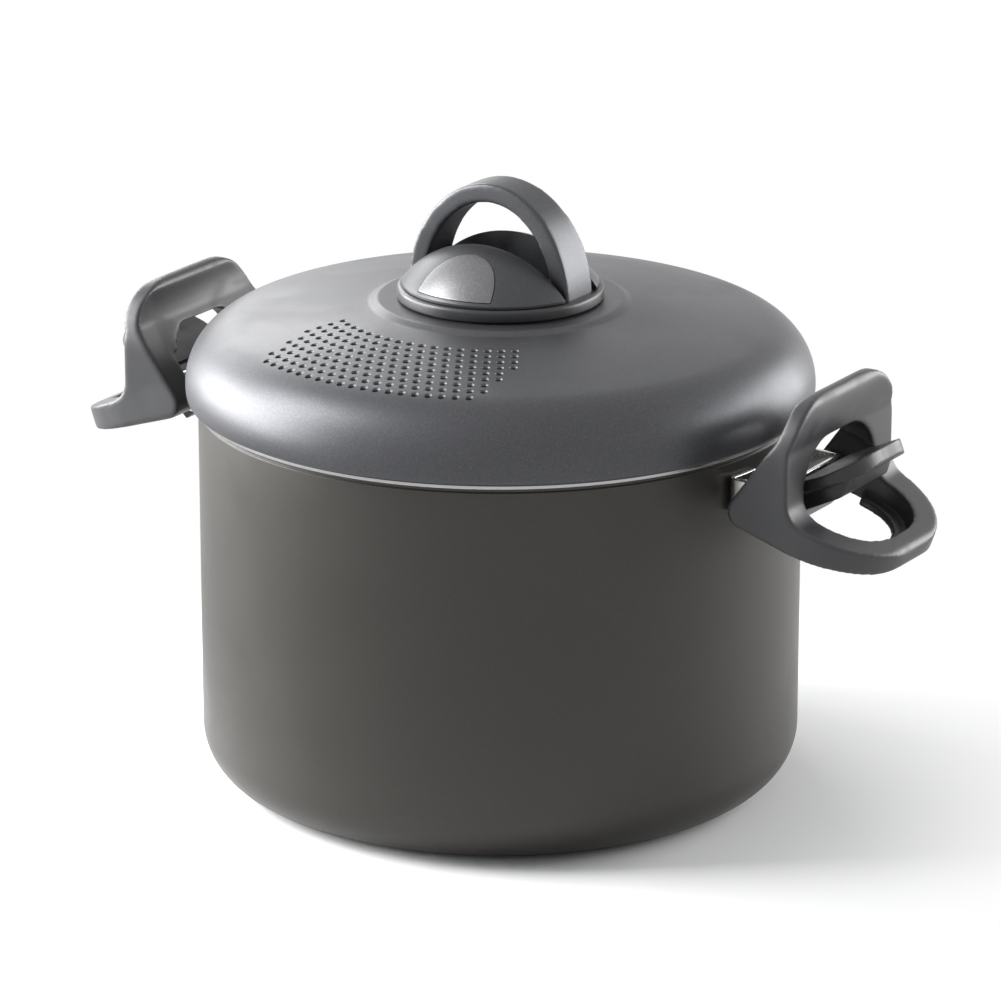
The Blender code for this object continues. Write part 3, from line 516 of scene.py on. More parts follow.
def fleck_group():
    """Fine metallic flecks and the slight orange peel of a sprayed coating."""
    group, source, sink = new_group(
        "Coating Flecks", {"Fleck Scale": 1800.0, "Peel Scale": 500.0}, ("Flecks", "Cloud", "Height"))
    place = source["Vector"]
    cells = feed(group, add(group, "ShaderNodeTexVoronoi", feature="F1"),
                 Vector=place, Scale=source["Fleck Scale"])
    tone = feed(group, add(group, "ShaderNodeSeparateColor"), Color=cells.outputs["Color"])
    cloud = noise(group, Vector=place, Scale=22.0, Detail=3.0)
    peel = noise(group, Vector=place, Scale=source["Peel Scale"], Detail=4.0, Roughness=0.65)
    feed(group, sink, Flecks=remap(group, tone.outputs["Red"], 0.55, 1.0),
         Cloud=remap(group, cloud, 0.35, 0.65), Height=peel)
    return group


def grain_group():
    """The fine eroded texture of moulded plastic, with faint handling marks."""
    group, source, sink = new_group("Moulded Grain", {"Scale": 1400.0}, ("Height", "Marks"))
    grain = noise(group, Vector=source["Vector"], Scale=source["Scale"], Detail=2.0, Roughness=0.6)
    marks = noise(group, Vector=source["Vector"], Scale=60.0, Detail=5.0, Distortion=0.6)
    feed(group, sink, Height=grain, Marks=remap(group, marks, 0.40, 0.70))
    return group


def lathe_group():
    """Fine rings left by turning on a lathe, about the Z axis."""
    group, source, sink = new_group("Turned Rings", {"Rings per Metre": 1600.0}, ("Height", "Tone"))
    radius = add(group, "ShaderNodeVectorMath", operation="LENGTH")
    group.links.new(stretched(group, source["Vector"], (1.0, 1.0, 0.0)), radius.inputs[0])
    rings = feed(group, add(group, "ShaderNodeTexNoise", noise_dimensions="1D"),
                 W=radius.outputs["Value"], Scale=source["Rings per Metre"], Detail=3.0).outputs["Fac"]
    feed(group, sink, Height=rings, Tone=remap(group, rings, 0.3, 0.7))
    return group


def brush_group():
    """Fine lines along a polished strip, with soft smears."""
    group, source, sink = new_group("Polishing Lines", {"Scale": 900.0}, ("Height", "Smears"))
    along = stretched(group, source["Vector"], (0.04, 0.04, 1.0))
    smears = noise(group, Vector=source["Vector"], Scale=90.0, Detail=4.0)
    feed(group, sink, Height=noise(group, Vector=along, Scale=source["Scale"], Detail=3.0),
         Smears=remap(group, smears, 0.4, 0.7))
    return group


def scaled(rgb, factor):
    return tuple(min(1.0, part * factor) for part in rgb)


def new_material(name, group, tone, wear, dark, light, rough, depth, strength, metallic, shine, **scales):
    """A material whose colour follows one mask of a placed node group, and its roughness another."""
    material = bpy.data.materials.new(name)
    material.use_nodes = True
    tree = material.node_tree
    place = add(tree, "ShaderNodeTexCoord").outputs["Object"]
    masks = feed(tree, add(tree, "ShaderNodeGroup", node_tree=group), Vector=place, **scales).outputs
    mix = feed(tree, add(tree, "ShaderNodeMix", data_type="RGBA"),
               Factor=masks[tone], A=(*dark, 1.0), B=(*light, 1.0))
    bump = feed(tree, add(tree, "ShaderNodeBump"), Height=masks["Height"], Distance=depth, Strength=strength)
    feed(tree, tree.nodes["Principled BSDF"], Base_Color=mix.outputs["Result"],
         Roughness=remap(tree, masks[wear], 0.0, 1.0, *rough), Normal=bump.outputs["Normal"],
         Metallic=metallic, Specular_IOR_Level=shine)
    return material


def coating(name, rgb, flecks, metallic, rough, contrast, fleck_scale):
    """A sprayed coating with metallic flecks."""
    coat, fleck = scaled(rgb, 1.0 - contrast * 0.25), scaled(rgb, 1.0 + contrast)
    return new_material(name, flecks, "Flecks", "Cloud", coat, fleck, rough, depth=0.00006, strength=0.35,
                        metallic=metallic, shine=0.6, Fleck_Scale=fleck_scale)


def plastic(name, rgb, grain, rough, depth):
    """Moulded plastic with a fine grain."""
    return new_material(name, grain, "Marks", "Marks", rgb, scaled(rgb, 1.18), rough, depth,
                        strength=0.4, metallic=0.0, shine=0.5)


def metal(name, rgb, group, tone, rough, depth):
    """Bare metal with the marks of its working."""
    return new_material(name, group, tone, tone, scaled(rgb, 0.92), rgb, rough, depth,
                        strength=0.3, metallic=1.0, shine=0.5)


MATERIALS = {}


def make_materials(finishes):
    flecks, grain, rings, brush = fleck_group(), grain_group(), lathe_group(), brush_group()
    # The leaf's colour is the handle plastic darkened to 0.45 of it: painted shade for the leaf, which sits
    # under the frame's bar.
    ring_colour, shaded_leaf_colour = scaled(finishes.plastic, 0.7), scaled(finishes.plastic, 0.45)
    MATERIALS.update({
        "pot_coat": coating("Satin dark coat", finishes.pot_coat, flecks, metallic=0.55,
                            rough=(0.40, 0.46), contrast=0.12, fleck_scale=3000.0),
        "lid_coat": coating("Graphite coat", finishes.lid_coat, flecks, metallic=0.65,
                            rough=(0.38, 0.44), contrast=0.30, fleck_scale=3400.0),
        "knob": coating("Knob paint", finishes.knob, flecks, metallic=0.60,
                        rough=(0.36, 0.42), contrast=0.25, fleck_scale=3600.0),
        "inlay": coating("Silver inlay paint", finishes.inlay, flecks, metallic=0.75,
                         rough=(0.32, 0.38), contrast=0.30, fleck_scale=3600.0),
        "plastic": plastic("Black moulded plastic", finishes.plastic, grain, (0.40, 0.50), 0.00004),
        "ring": plastic("Black ring plastic", ring_colour, grain, (0.34, 0.44), 0.00002),
        # The leaf's material: the handle plastic, darkened as painted shade.
        "leaf": plastic("Leaf plastic with painted shade", shaded_leaf_colour, grain, (0.42, 0.52), 0.00004),
        "steel": metal("Polished strap steel", finishes.steel, brush, "Smears", (0.20, 0.30), 0.00001),
        "bare": metal("Turned bare aluminium", finishes.bare, rings, "Tone", (0.24, 0.34), 0.00002),
    })


# Pieces

def pot_profile(sizes):
    """Half section of the pot: inside floor, wall, rolled rim band, wall, base."""
    height = POT_HIGH.z
    inside = sizes.radius - sizes.wall
    inner_corner = sizes.base_corner - sizes.wall
    rim = sizes.radius + sizes.rim_overhang
    band = height - sizes.rim_band
    groove = sizes.radius - GROOVE
    points = [(0.0, sizes.floor), (inside * 0.3, sizes.floor), (inside * 0.6, sizes.floor)]
    points += arc((inside - inner_corner, sizes.floor + inner_corner), inner_corner, -90.0, 0.0, 12)
    points += [(inside, height * share) for share in (0.35, 0.6, 0.8)]
    points += rounded([
        (inside, height * 0.9), (inside, height, RIM_EDGE), (rim, height, RIM_EDGE),
        (rim, band + sizes.bare_line), (rim, band, BAND_EDGE), (groove, band - GROOVE_TOP, 0.0003),
        (groove, band - GROOVE_LOW, 0.0003), (sizes.radius, band - GROOVE_END, 0.0004),
        (sizes.radius, height * 0.85)], steps=5, cyclic=False)
    points += [(sizes.radius, height * share) for share in (0.7, 0.5, 0.3)]
    points += arc((sizes.radius - sizes.base_corner, sizes.base_corner), sizes.base_corner, 0.0, -84.0, 16)
    flat = sizes.radius - sizes.base_corner - BASE_ROLL
    return points + [
        (flat, 0.0), (flat - BASE_RING, 0.0), (flat - BASE_RING - RECESS_SLOPE, BASE_RECESS),
        (CENTRE_PAD, BASE_RECESS), (CENTRE_PAD - RECESS_SLOPE, 0.0), (0.0, 0.0)]


def is_bare(sizes, at):
    """Whether a place lies on the pot's bare rim, the bare line under it or the turned base."""
    band = POT_HIGH.z - sizes.rim_band
    on_rim = at.z > POT_HIGH.z - BARE_RIM
    on_line = band - BARE_MARGIN < at.z < band + sizes.bare_line
    on_base = at.z < BARE_BASE and at.xy.length < sizes.radius - sizes.base_corner
    return on_rim or on_line or on_base


class COLANDER_OT_pot(bpy.types.Operator):
    """Model the pot with its bare rim and base"""
    bl_idname = "colander.pot"
    bl_label = "Pot"

    def execute(self, context):
        sizes = context.scene.colander_pot
        item = turned(pot_profile(sizes), sizes.turn_steps)
        finish_piece(item, 30.0, "pot_shell", "pot", "pot_body", "pot_coating", "pot_coat", "bare")
        for face in item.data.polygons:
            if is_bare(sizes, face.center):
                face.material_index = 1
        return {"FINISHED"}


def shoulder_centre(sizes):
    """Centre of the lid's rounded shoulder, in the half section."""
    return LID_HIGH.x - sizes.shoulder, POT_HIGH.z + sizes.shoulder_lift


def plateau_end(sizes):
    """Radius at which the lid's sloping top meets its shoulder."""
    return shoulder_centre(sizes)[0] + sizes.shoulder * math.cos(math.radians(SHOULDER_TOP))


def plateau(sizes, radius):
    """Height of the lid's top at a radius between its collar and its shoulder."""
    start_r = plateau_end(sizes)
    start_z = shoulder_centre(sizes)[1] + sizes.shoulder * math.sin(math.radians(SHOULDER_TOP))
    edge = math.tan(math.radians(90.0 - SHOULDER_TOP))
    inner = math.tan(math.radians(COLLAR_PITCH))
    run = start_r - radius
    return start_z + edge * run - (edge - inner) * run * run / (2.0 * (start_r - sizes.collar))


def lid_profile(sizes):
    """Half section of the lid: collar, plateau, shoulder, lap, skirt and the inside."""
    centre = shoulder_centre(sizes)
    start_r = plateau_end(sizes)
    collar = LID_HIGH.z
    blend = sizes.collar + COLLAR_FILLET
    top = [(SCREW_BORE, collar)]
    top += rounded([
        (COLLAR_FLAT, collar), (sizes.collar - COLLAR_SLOPE, collar, COLLAR_FILLET),
        (sizes.collar, plateau(sizes, sizes.collar), COLLAR_FILLET), (blend, plateau(sizes, blend))],
        steps=6, cyclic=False)
    for k in range(1, 10):
        radius = blend + (start_r - blend) * k / 10.0
        top.append((radius, plateau(sizes, radius)))
    top += arc(centre, sizes.shoulder, SHOULDER_TOP, SHOULDER_LOW, 24)
    seat = POT_HIGH.z + GAP
    lap = POT_HIGH.z - LID_LAP
    outside = POT_HIGH.x + RUN_GAP
    skirt = POT_HIGH.x - RIM_WIDTH - RUN_GAP
    skirt_inside = skirt - SKIRT_WALL
    hem = POT_HIGH.z - sizes.skirt
    edge = rounded([
        top[-1], (LID_HIGH.x - LID_EDGE, lap, LID_EDGE), (outside, lap, 0.0003),
        (outside, seat, 0.0003), (skirt, seat, 0.0002), (skirt, hem, LID_EDGE), (skirt_inside, hem, LID_EDGE),
        (skirt_inside, seat + SKIRT_WALL, 0.001), (centre[0] + sizes.shoulder - sizes.sheet, centre[1])],
        steps=3, cyclic=False)[1:]
    under = arc(centre, sizes.shoulder - sizes.sheet, SHOULDER_INSIDE, SHOULDER_TOP, 12)
    for k in range(5, -1, -1):
        radius = sizes.collar + (start_r - sizes.collar) * k / 6.0
        under.append((radius, plateau(sizes, radius) - sizes.sheet))
    under += [(sizes.collar - COLLAR_SLOPE, collar - sizes.sheet), (SCREW_BORE, collar - sizes.sheet)]
    return top + edge + under


def hole_places(sizes):
    """Places of the drain holes: staggered rows on arcs about the lid's axis."""
    places = []
    for row in range(sizes.rows):
        radius = sizes.hole_row + row * sizes.row_pitch
        height = plateau(sizes, radius)
        count = sizes.first_count + row
        if count > sizes.most:
            count = sizes.most - (count - sizes.most) % 2
        for column in range(count):
            angle = (column - (count - 1) / 2.0) * sizes.hole_pitch / radius - math.pi / 2.0
            places.append(Vector((radius * math.cos(angle), radius * math.sin(angle), height)))
    return places


class COLANDER_OT_lid(bpy.types.Operator):
    """Model the lid and drill its drain holes"""
    bl_idname = "colander.lid"
    bl_label = "Lid"

    def execute(self, context):
        sizes = context.scene.colander_lid
        item = turned(lid_profile(sizes), context.scene.colander_pot.turn_steps, closed=True)
        hole = sizes.hole / 2.0
        drill = turned(
            [(0.0, DRILL_HEAD[0][1])] + [(hole + wider, height) for wider, height in DRILL_HEAD]
            + [(hole, -DRILL_DEPTH), (0.0, -DRILL_DEPTH)], DRILL_SIDES)
        drills = [moved_copy(drill, Matrix.Translation(place)) for place in hole_places(sizes)]
        bpy.data.objects.remove(drill, do_unlink=True)
        clear_selection()
        for one in drills:
            one.select_set(True)
        bpy.context.view_layer.objects.active = drills[0]
        bpy.ops.object.join()
        carve(item, drills[0])
        finish_piece(item, 28.0, "lid_shell", "lid", "lid", "lid_coating", "lid_coat")
        return {"FINISHED"}


def dome_profile(sizes, lift=0.0):
    """Half section of the knob's dome, which is part of a ball on a short upright edge."""
    low = KNOB_LOW.z + sizes.ring + GAP
    edge = sizes.radius - DOME_INSET
    ball = (edge * edge + sizes.dome * sizes.dome) / (2.0 * sizes.dome)
    points = []
    for k in range(DOME_STEPS + 1):
        radius = edge * k / DOME_STEPS
        rise = math.sqrt(ball * ball - radius * radius) - (ball - sizes.dome)
        points.append((radius, low + DOME_EDGE + rise + lift))
    return points + [(edge, low), (0.0, low)]


def arch_outline(sizes):
    """Side view of the arch, between an outer and an inner half oval."""
    base = KNOB_LOW.z + sizes.ring / 2.0
    rise = KNOB_LOW.z + sizes.arch - base
    reach = sizes.half_span - sizes.arch_thickness
    outer, inner = [], []
    for k in range(ARCH_STEPS + 1):
        angle = math.pi * k / ARCH_STEPS
        outer.append((sizes.half_span * math.cos(angle), base + rise * math.sin(angle)))
        inner.append((reach * math.cos(angle), base + (rise - sizes.arch_thickness) * math.sin(angle)))
    return outer + inner[::-1]


def knob_ring(sizes):
    low, level = KNOB_LOW.z, KNOB_LOW.z + sizes.ring
    ring = turned(rounded([
        (0.0, level), (sizes.radius, level, RING_TOP_EDGE), (sizes.radius, low, RING_LOW_EDGE),
        (0.0, low)], steps=5, cyclic=False), KNOB_STEPS)
    finish_piece(ring, 40.0, "knob_ring", "lid", "knob_base", "knob_plastic", "ring")


def knob_arch(sizes):
    """The arch, narrower at its top than at its feet, on a web that joins the feet."""
    low = KNOB_LOW.z
    arch = slab(arch_outline(sizes), sizes.foot_width / 2.0, SIDE_VIEW)
    foot, head = sizes.foot_width / 2.0, sizes.arch_width / 2.0
    bottom, middle, top = low - ARCH_CUT_FALL, low + sizes.arch * 0.55, low + sizes.arch + ARCH_TAPER_RISE
    waist = [(-foot - ARCH_FLARE, bottom), (foot + ARCH_FLARE, bottom), (foot, middle), (head, top),
             (-head, top), (-foot, middle)]
    carve(arch, slab(waist, sizes.radius * 2.0, FRONT_VIEW), "INTERSECT")
    web = slab(oblong(sizes.half_span - WEB_EDGE, WEB_HALF_WIDTH, WEB_EDGE), sizes.ring / 2.0,
               Matrix.Translation((0, 0, low + sizes.ring)))
    carve(arch, web, "UNION")
    mould(arch, *ARCH_MOULD)
    finish_piece(arch, 60.0, "knob_arch", "lid", "knob_base", "knob_plastic", "knob")


def knob_half(sizes, side, radius, centre_y, inlay_finish):
    """One half of the dome, beside the arch, and the round inlay that is let into it."""
    dome = turned(dome_profile(sizes), KNOB_STEPS)
    ridge = math.copysign(sizes.foot_width / 2.0 + TROUGH, centre_y)
    far = sizes.radius * 2.0
    limit = math.copysign(far, centre_y)
    keep = slab([(-far, ridge), (far, ridge), (far, limit), (-far, limit)], KEEP_HALF,
                Matrix.Translation((0, 0, KNOB_LOW.z)))
    carve(dome, keep, "INTERSECT")
    floor = KNOB_LOW.z + sizes.ring + INLAY_DEPTH
    sky = (0, centre_y, KNOB_LOW.z + CUT_TOP)
    carve(dome, cylinder(radius, (0, centre_y, floor), sky, INLAY_SIDES))
    round_edges(dome, 0.0010, 4, 40.0)
    finish_piece(dome, 30.0, "knob_" + side + "_half", "lid", "knob_" + side + "_dome",
                 "knob_plastic", "knob")

    inlay = turned(dome_profile(sizes, INLAY_PROUD), KNOB_STEPS)
    carve(inlay, cylinder(radius - GAP, (0, centre_y, floor + GAP), sky, INLAY_SIDES), "INTERSECT")
    round_edges(inlay, 0.0009, 4, 40.0)
    finish_piece(inlay, 30.0, "knob_" + side + "_panel", "lid", "knob_" + side + "_inlay",
                 "inlay_plastic", inlay_finish)


class COLANDER_OT_knob(bpy.types.Operator):
    """Model the knob: ring, arch, two domed halves and their inlays"""
    bl_idname = "colander.knob"
    bl_label = "Knob"

    def execute(self, context):
        sizes = context.scene.colander_knob
        knob_ring(sizes)
        knob_arch(sizes)
        knob_half(sizes, "front", sizes.front_inlay, FRONT_INLAY_Y, "inlay")
        knob_half(sizes, "rear", sizes.rear_inlay, REAR_INLAY_Y, "knob")
        return {"FINISHED"}


class COLANDER_OT_brackets(bpy.types.Operator):
    """Model the bent steel strap of each handle"""
    bl_idname = "colander.brackets"
    bl_label = "Brackets"

    def execute(self, context):
        sizes = context.scene.colander_handles
        thick = sizes.strap
        foot = context.scene.colander_pot.radius + GAP + thick / 2.0
        half = STRAP_HIGH.y - thick / 2.0
        front = STRAP_HIGH.x - thick / 2.0
        start = STRAP_HIGH.y - sizes.foot
        path = []
        for k in range(5):
            side = start + (half - FOOT_BEND_ROOM - start) * k / 4.0
            path.append((math.sqrt(foot * foot - side * side), side, 0.0))
        path.append((math.sqrt(foot * foot - half * half), half, FOOT_BEND))
        path.append((front, half, sizes.strap_bend))
        path += [(x, -y, radius) for x, y, radius in reversed(path)]
        line = rounded(path, steps=10, cyclic=False)
        strap = draw([(x, y, STRAP_LOW.z) for x, y in line])
        rise = (0.0, 0.0, STRAP_HIGH.z - STRAP_LOW.z)
        bpy.ops.mesh.extrude_region_move(TRANSFORM_OT_translate={"value": rise})
        finish_drawing()
        apply_modifier(strap, "SOLIDIFY", thickness=thick, offset=0.0, use_even_offset=True)
        round_edges(strap, 0.0005, 3, 50.0)
        finish_pair(strap, 40.0, "strap", ("pot", "pot"), "bracket", "steel", "steel")
        return {"FINISHED"}


def bar_arc(radius, start, end, steps):
    """An arc of the open frame's bar about the lid shoulder's centre, seen from the pivot."""
    x, z = shoulder_centre(bpy.context.scene.colander_lid)
    centre = Vector((x - PIVOT.x, z - PIVOT.z))
    centre.rotate(Matrix.Rotation(-LOCK_ANGLE, 2))
    turn = math.degrees(LOCK_ANGLE)
    return arc(centre, radius, start - turn, end - turn, steps)


def frame_outline(sizes):
    """Side view of an open frame about its pivot."""
    half = sizes.loop / 2.0
    inner = bpy.context.scene.colander_lid.shoulder + BAR_GAP
    outer = inner + sizes.bar
    end_round = sizes.bar * 0.25
    boss = arc((0.0, 0.0), half, 180.0 + math.degrees(LOCK_ANGLE) - BOSS_LEAN, 270.0 + LOOP_ANGLE, 14)
    tip = sizes.loop_tip / 2.0
    outline = rounded([
        boss[-1], (*polar(LOOP_ANGLE, sizes.loop_reach, -tip), tip * 0.8),
        (*polar(LOOP_ANGLE, sizes.loop_reach, tip), tip * 0.8),
        (*polar(LOOP_ANGLE, CHEEK_REACH, half), CHEEK_REACH * 0.55),
        bar_arc(outer, BAR_START, BAR_END, 1)[0]], steps=10)
    outline += bar_arc(outer, BAR_START + BAR_EASE, BAR_END - BAR_END_EASE, 10)
    outline.append(bar_arc(outer - end_round, BAR_END, BAR_END, 1)[0])
    outline.append(bar_arc(inner + end_round, BAR_END, BAR_END, 1)[0])
    outline += bar_arc(inner, BAR_END - BAR_EASE, BAR_START, 10)
    return boss[:-1] + outline


def at_pivot(matrix):
    return Matrix.Translation(PIVOT) @ matrix


def loop_plane(angle):
    return at_pivot(Matrix.Rotation(math.radians(-angle), 4, "Y"))


def crowned_top(sizes, top):
    """Front view of the bar's outer edge: two rounded corners joined by a gentle arch."""
    wide, corner = sizes.half_width, sizes.bar_corner
    crown = wide * wide / (2.0 * sizes.bar_bulge)
    reach = wide - corner
    lean = math.degrees(math.asin(reach / (crown - corner)))
    corner_z = top - crown + math.sqrt((crown - corner) ** 2 - reach ** 2)
    right = arc((reach, corner_z), corner, 0.0, 90.0 - lean, 14)
    middle = arc((0.0, top - crown), crown, 90.0 - lean, 90.0 + lean, 12)[1:-1]
    return right + middle + [(-y, z) for y, z in reversed(right)]


def cut_grip(body, sizes, opening):
    """Cut the finger opening through the loop, with a ledge left round its lower edge."""
    half = sizes.loop / 2.0
    reach = sizes.loop_reach - sizes.loop_end
    corner = sizes.window_corner
    window = tongue(reach, opening, corner, -sizes.loop)
    tall = half * 1.5
    lift = Matrix.Translation((0, 0, -half + LEDGE_HEIGHT + tall))
    carve(body, slab(window, tall, loop_plane(LOOP_ANGLE) @ lift))
    ledge = opening - LEDGE_WIDTH
    end, corner = reach - LEDGE_END_WIDTH, corner - LEDGE_CORNER
    hatch = rounded([
        (end, -ledge, corner), (end, ledge, corner), (CHEEK_REACH, ledge), (CHEEK_REACH, opening),
        (-sizes.loop, opening), (-sizes.loop, -opening), (CHEEK_REACH, -opening),
        (CHEEK_REACH, -ledge)], steps=10)
    carve(body, slab(hatch, half * 1.4, loop_plane(LOOP_ANGLE)))


class COLANDER_OT_frames(bpy.types.Operator):
    """Model the tilting frame of each handle: grip loop, cheeks and lid bar"""
    bl_idname = "colander.frames"
    bl_label = "Locking frames"

    def execute(self, context):
        sizes = context.scene.colander_handles
        half = sizes.loop / 2.0
        wide = sizes.half_width
        opening = wide - sizes.cheek
        outline = frame_outline(sizes)
        top = max(z for x, z in outline)
        body = slab(outline, wide, at_pivot(SIDE_VIEW))
        plan = tongue(sizes.loop_reach, wide, sizes.loop_corner, -CLEAR, steps=14)
        carve(body, slab(plan, CLEAR, loop_plane(LOOP_ANGLE)), "INTERSECT")
        front = [(-wide, -CLEAR), (wide, -CLEAR)] + crowned_top(sizes, top + GAP)
        carve(body, slab(front, CLEAR, at_pivot(FRONT_VIEW)), "INTERSECT")
        cut_grip(body, sizes, opening)
        arch_low = top - sizes.bar_depth
        doorway = rounded([
            (-opening, -half), (opening, -half), (opening, arch_low, sizes.doorway_corner),
            (-opening, arch_low, sizes.doorway_corner)], steps=12)
        end = CHEEK_REACH + half * 0.6
        depth = end / 2.0 + half
        inward = Matrix.Translation((end - depth, 0, 0))
        carve(body, slab(doorway, depth, at_pivot(inward @ FRONT_VIEW)))
        mould(body, *FRAME_MOULD)
        finish_pair(body, 60.0, "frame", ("right_lock", "left_lock"), "locking_frame",
                    "handle_plastic", "plastic")
        return {"FINISHED"}


def on_leaf(along, across):
    return polar(LEAF_ANGLE, along, across)


def leaf_blade(sizes, start, reach, rest, width):
    """The leaf's blade, which thins from its end towards its root."""
    top = rest + sizes.leaf
    middle = (start + reach) / 2.0
    hollow = ((reach, 0.0), (reach * 0.94, 0.09), (reach * 0.86, 0.18), (middle, 0.32), (start, 0.36))
    outline = [on_leaf(start, rest), on_leaf(reach - sizes.leaf_undercut, rest)]
    outline.append(on_leaf(reach, top - sizes.leaf_tip))
    outline += [on_leaf(along, top - sizes.leaf * share) for along, share in hollow]
    blade = slab(outline, width, at_pivot(SIDE_VIEW))
    plan = tongue(reach, width, sizes.leaf_corner, start * 0.9, sizes.leaf_corner * 0.4)
    carve(blade, slab(plan, CLEAR / 2.0, loop_plane(LEAF_ANGLE)), "INTERSECT")
    return blade


def leaf_root(sizes, start, reach, rest, width):
    """The leaf's root: a clip round the strap's lower edge that runs out under the blade."""
    middle = (start + reach) / 2.0
    face = STRAP_HIGH.x - PIVOT.x + GAP
    back = STRAP_HIGH.x - PIVOT.x - sizes.strap - GAP
    rear = back - CLIP_THICKNESS
    sill = STRAP_LOW.z - PIVOT.z - GAP
    inside = rest + sizes.leaf * 0.5
    root = slab([
        (face, sill + CLIP_LIP), (face, sill), (back, sill), (back, CLIP_TOP), (rear, CLIP_TOP),
        (rear, sill - CLIP_HEEL), (back, sill - CLIP_TOE), on_leaf(start * 0.9, rest - ROOT_HEEL),
        on_leaf(middle, rest - ROOT_MIDDLE), on_leaf(reach * 0.82, rest + GAP), on_leaf(middle, inside),
        on_leaf(start * 1.1, inside), on_leaf(start * 0.8, rest)], width, at_pivot(SIDE_VIEW))
    half = width - ROOT_SIDE_GAP
    end = sizes.loop_reach - sizes.loop_end - ROOT_END_GAP
    plan = tongue(end, half, sizes.window_corner - ROOT_CORNER_CUT, -CLEAR / 2.0)
    carve(root, slab(plan, CLEAR / 2.0, loop_plane(LEAF_ANGLE)), "INTERSECT")
    return root


class COLANDER_OT_leaves(bpy.types.Operator):
    """Model the fixed thumb leaf of each handle"""
    bl_idname = "colander.leaves"
    bl_label = "Thumb leaves"

    def execute(self, context):
        sizes = context.scene.colander_handles
        rest = -sizes.loop / 2.0 + LEDGE_HEIGHT + LEAF_SEAT_GAP
        start = CHEEK_REACH * 0.8
        reach = sizes.loop_reach - sizes.loop_end - LEAF_END_GAP
        width = sizes.half_width - sizes.cheek - LEAF_SIDE_GAP
        leaf = leaf_blade(sizes, start, reach, rest, width)
        carve(leaf, leaf_root(sizes, start, reach, rest, width), "UNION")
        mould(leaf, *LEAF_MOULD)
        # The leaf's finish is the handle plastic darkened as painted shade.
        finish_pair(leaf, 60.0, "leaf", ("pot", "pot"), "thumb_leaf", "handle_plastic", "leaf")
        return {"FINISHED"}


def wall_rivet(side, end):
    """A rivet through the pot's wall, from its head inside to its tail on the strap."""
    low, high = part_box(side + "_rivet_" + end)
    middle = (low + high) / 2.0
    wall = math.hypot(middle.x, middle.y)
    tip, tail, head, crown, middle_of_crown = (wall + level for level in RIVET_LEVELS)
    rivet = turned(rounded([
        (0.0, tip), (RIVET_TAIL_TOP, tip, 0.0012), (RIVET_TAIL, tail, 0.0003), (RIVET_SHANK, tail),
        (RIVET_SHANK, head), (RIVET_HEAD, head, 0.0004), (RIVET_HEAD_TOP, crown, 0.0015),
        (0.0, middle_of_crown)], steps=5, cyclic=False), FASTENER_SIDES)
    rivet.data.transform(
        Matrix.Translation((0, 0, middle.z)) @ Matrix.Rotation(math.atan2(middle.y, middle.x), 4, "Z")
        @ Matrix.Rotation(math.pi / 2.0, 4, "Y"))
    finish_piece(rivet, 40.0, side + "_wall_rivet_" + end, "pot", side + "_rivet_" + end,
                 "rivet_aluminium", "bare")


def pivot_pin(side, end, radius):
    """A pin with a flat head on the strap's inner side, which carries a cheek of the frame."""
    low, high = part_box(side + "_pin_" + end)
    sign = 1.0 if low.y > 0 else -1.0
    near, tip = (low.y, high.y) if sign > 0 else (-high.y, -low.y)
    neck = near + PIN_HEAD_HEIGHT
    pin = turned(rounded([
        (0.0, tip), (radius, tip, 0.0005), (radius, neck), (PIN_HEAD, neck, 0.0003),
        (PIN_HEAD_TOP, near, 0.0006), (0.0, near)], steps=4, cyclic=False), FASTENER_SIDES)
    centre = (low + high) / 2.0
    pin.data.transform(
        Matrix.Translation((centre.x, 0, centre.z)) @ Matrix.Rotation(-sign * math.pi / 2.0, 4, "X"))
    finish_piece(pin, 40.0, side + "_pivot_pin_" + end, "pot", side + "_pin_" + end, "steel", "steel")


def knob_fasteners():
    """The washer under the lid and the screw with a crossed recess that holds the knob."""
    low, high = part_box("knob_washer")
    washer = turned(rounded([
        (SCREW_BORE, low.z, 0.0002), (high.x, low.z, 0.0004), (high.x, high.z, 0.0002),
        (SCREW_BORE, high.z, 0.0002)], steps=3), WASHER_SIDES, closed=True)
    finish_piece(washer, 40.0, "knob_under_washer", "lid", "knob_washer", "steel", "steel")
    head = low.z - GAP
    low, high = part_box("knob_screw")
    screw = turned(rounded([
        (0.0, high.z), (SCREW_SHANK, high.z, 0.0004), (SCREW_SHANK, head), (high.x, head, 0.0004),
        (high.x - 0.0004, head - SCREW_HEAD_EDGE, 0.0008), (SCREW_HEAD_TOP, low.z, 0.001), (0.0, low.z)],
        steps=4, cyclic=False), SCREW_SIDES)
    place = Matrix.Translation((0, 0, low.z))
    recess = slab(oblong(RECESS_LENGTH, RECESS_WIDTH), RECESS_DEPTH, place)
    carve(recess, slab(oblong(RECESS_WIDTH, RECESS_LENGTH), RECESS_DEPTH, place), "UNION")
    carve(screw, recess)
    finish_piece(screw, 40.0, "knob_under_screw", "lid", "knob_screw", "steel", "steel")


class COLANDER_OT_fasteners(bpy.types.Operator):
    """Model the wall rivets, pivot pins, knob screw and washer"""
    bl_idname = "colander.fasteners"
    bl_label = "Fasteners"

    def execute(self, context):
        for side in ("right", "left"):
            for end in ("front", "rear"):
                wall_rivet(side, end)
                pivot_pin(side, end, context.scene.colander_handles.pin)
        knob_fasteners()
        return {"FINISHED"}


# Stage

def combine(tree, operation, first, second):
    """A sum or a product of two values, kept between 0 and 1."""
    node = add(tree, "ShaderNodeMath", operation=operation, use_clamp=True)
    tree.links.new(first, node.inputs[0])
    tree.links.new(second, node.inputs[1])
    return node.outputs[0]


def blend(tree, mask, first, second):
    """A mix of two shaders by a mask."""
    mix = add(tree, "ShaderNodeMixShader")
    for source, socket in zip((mask, first.outputs[0], second.outputs[0]), mix.inputs):
        tree.links.new(source, socket)
    return mix.outputs[0]


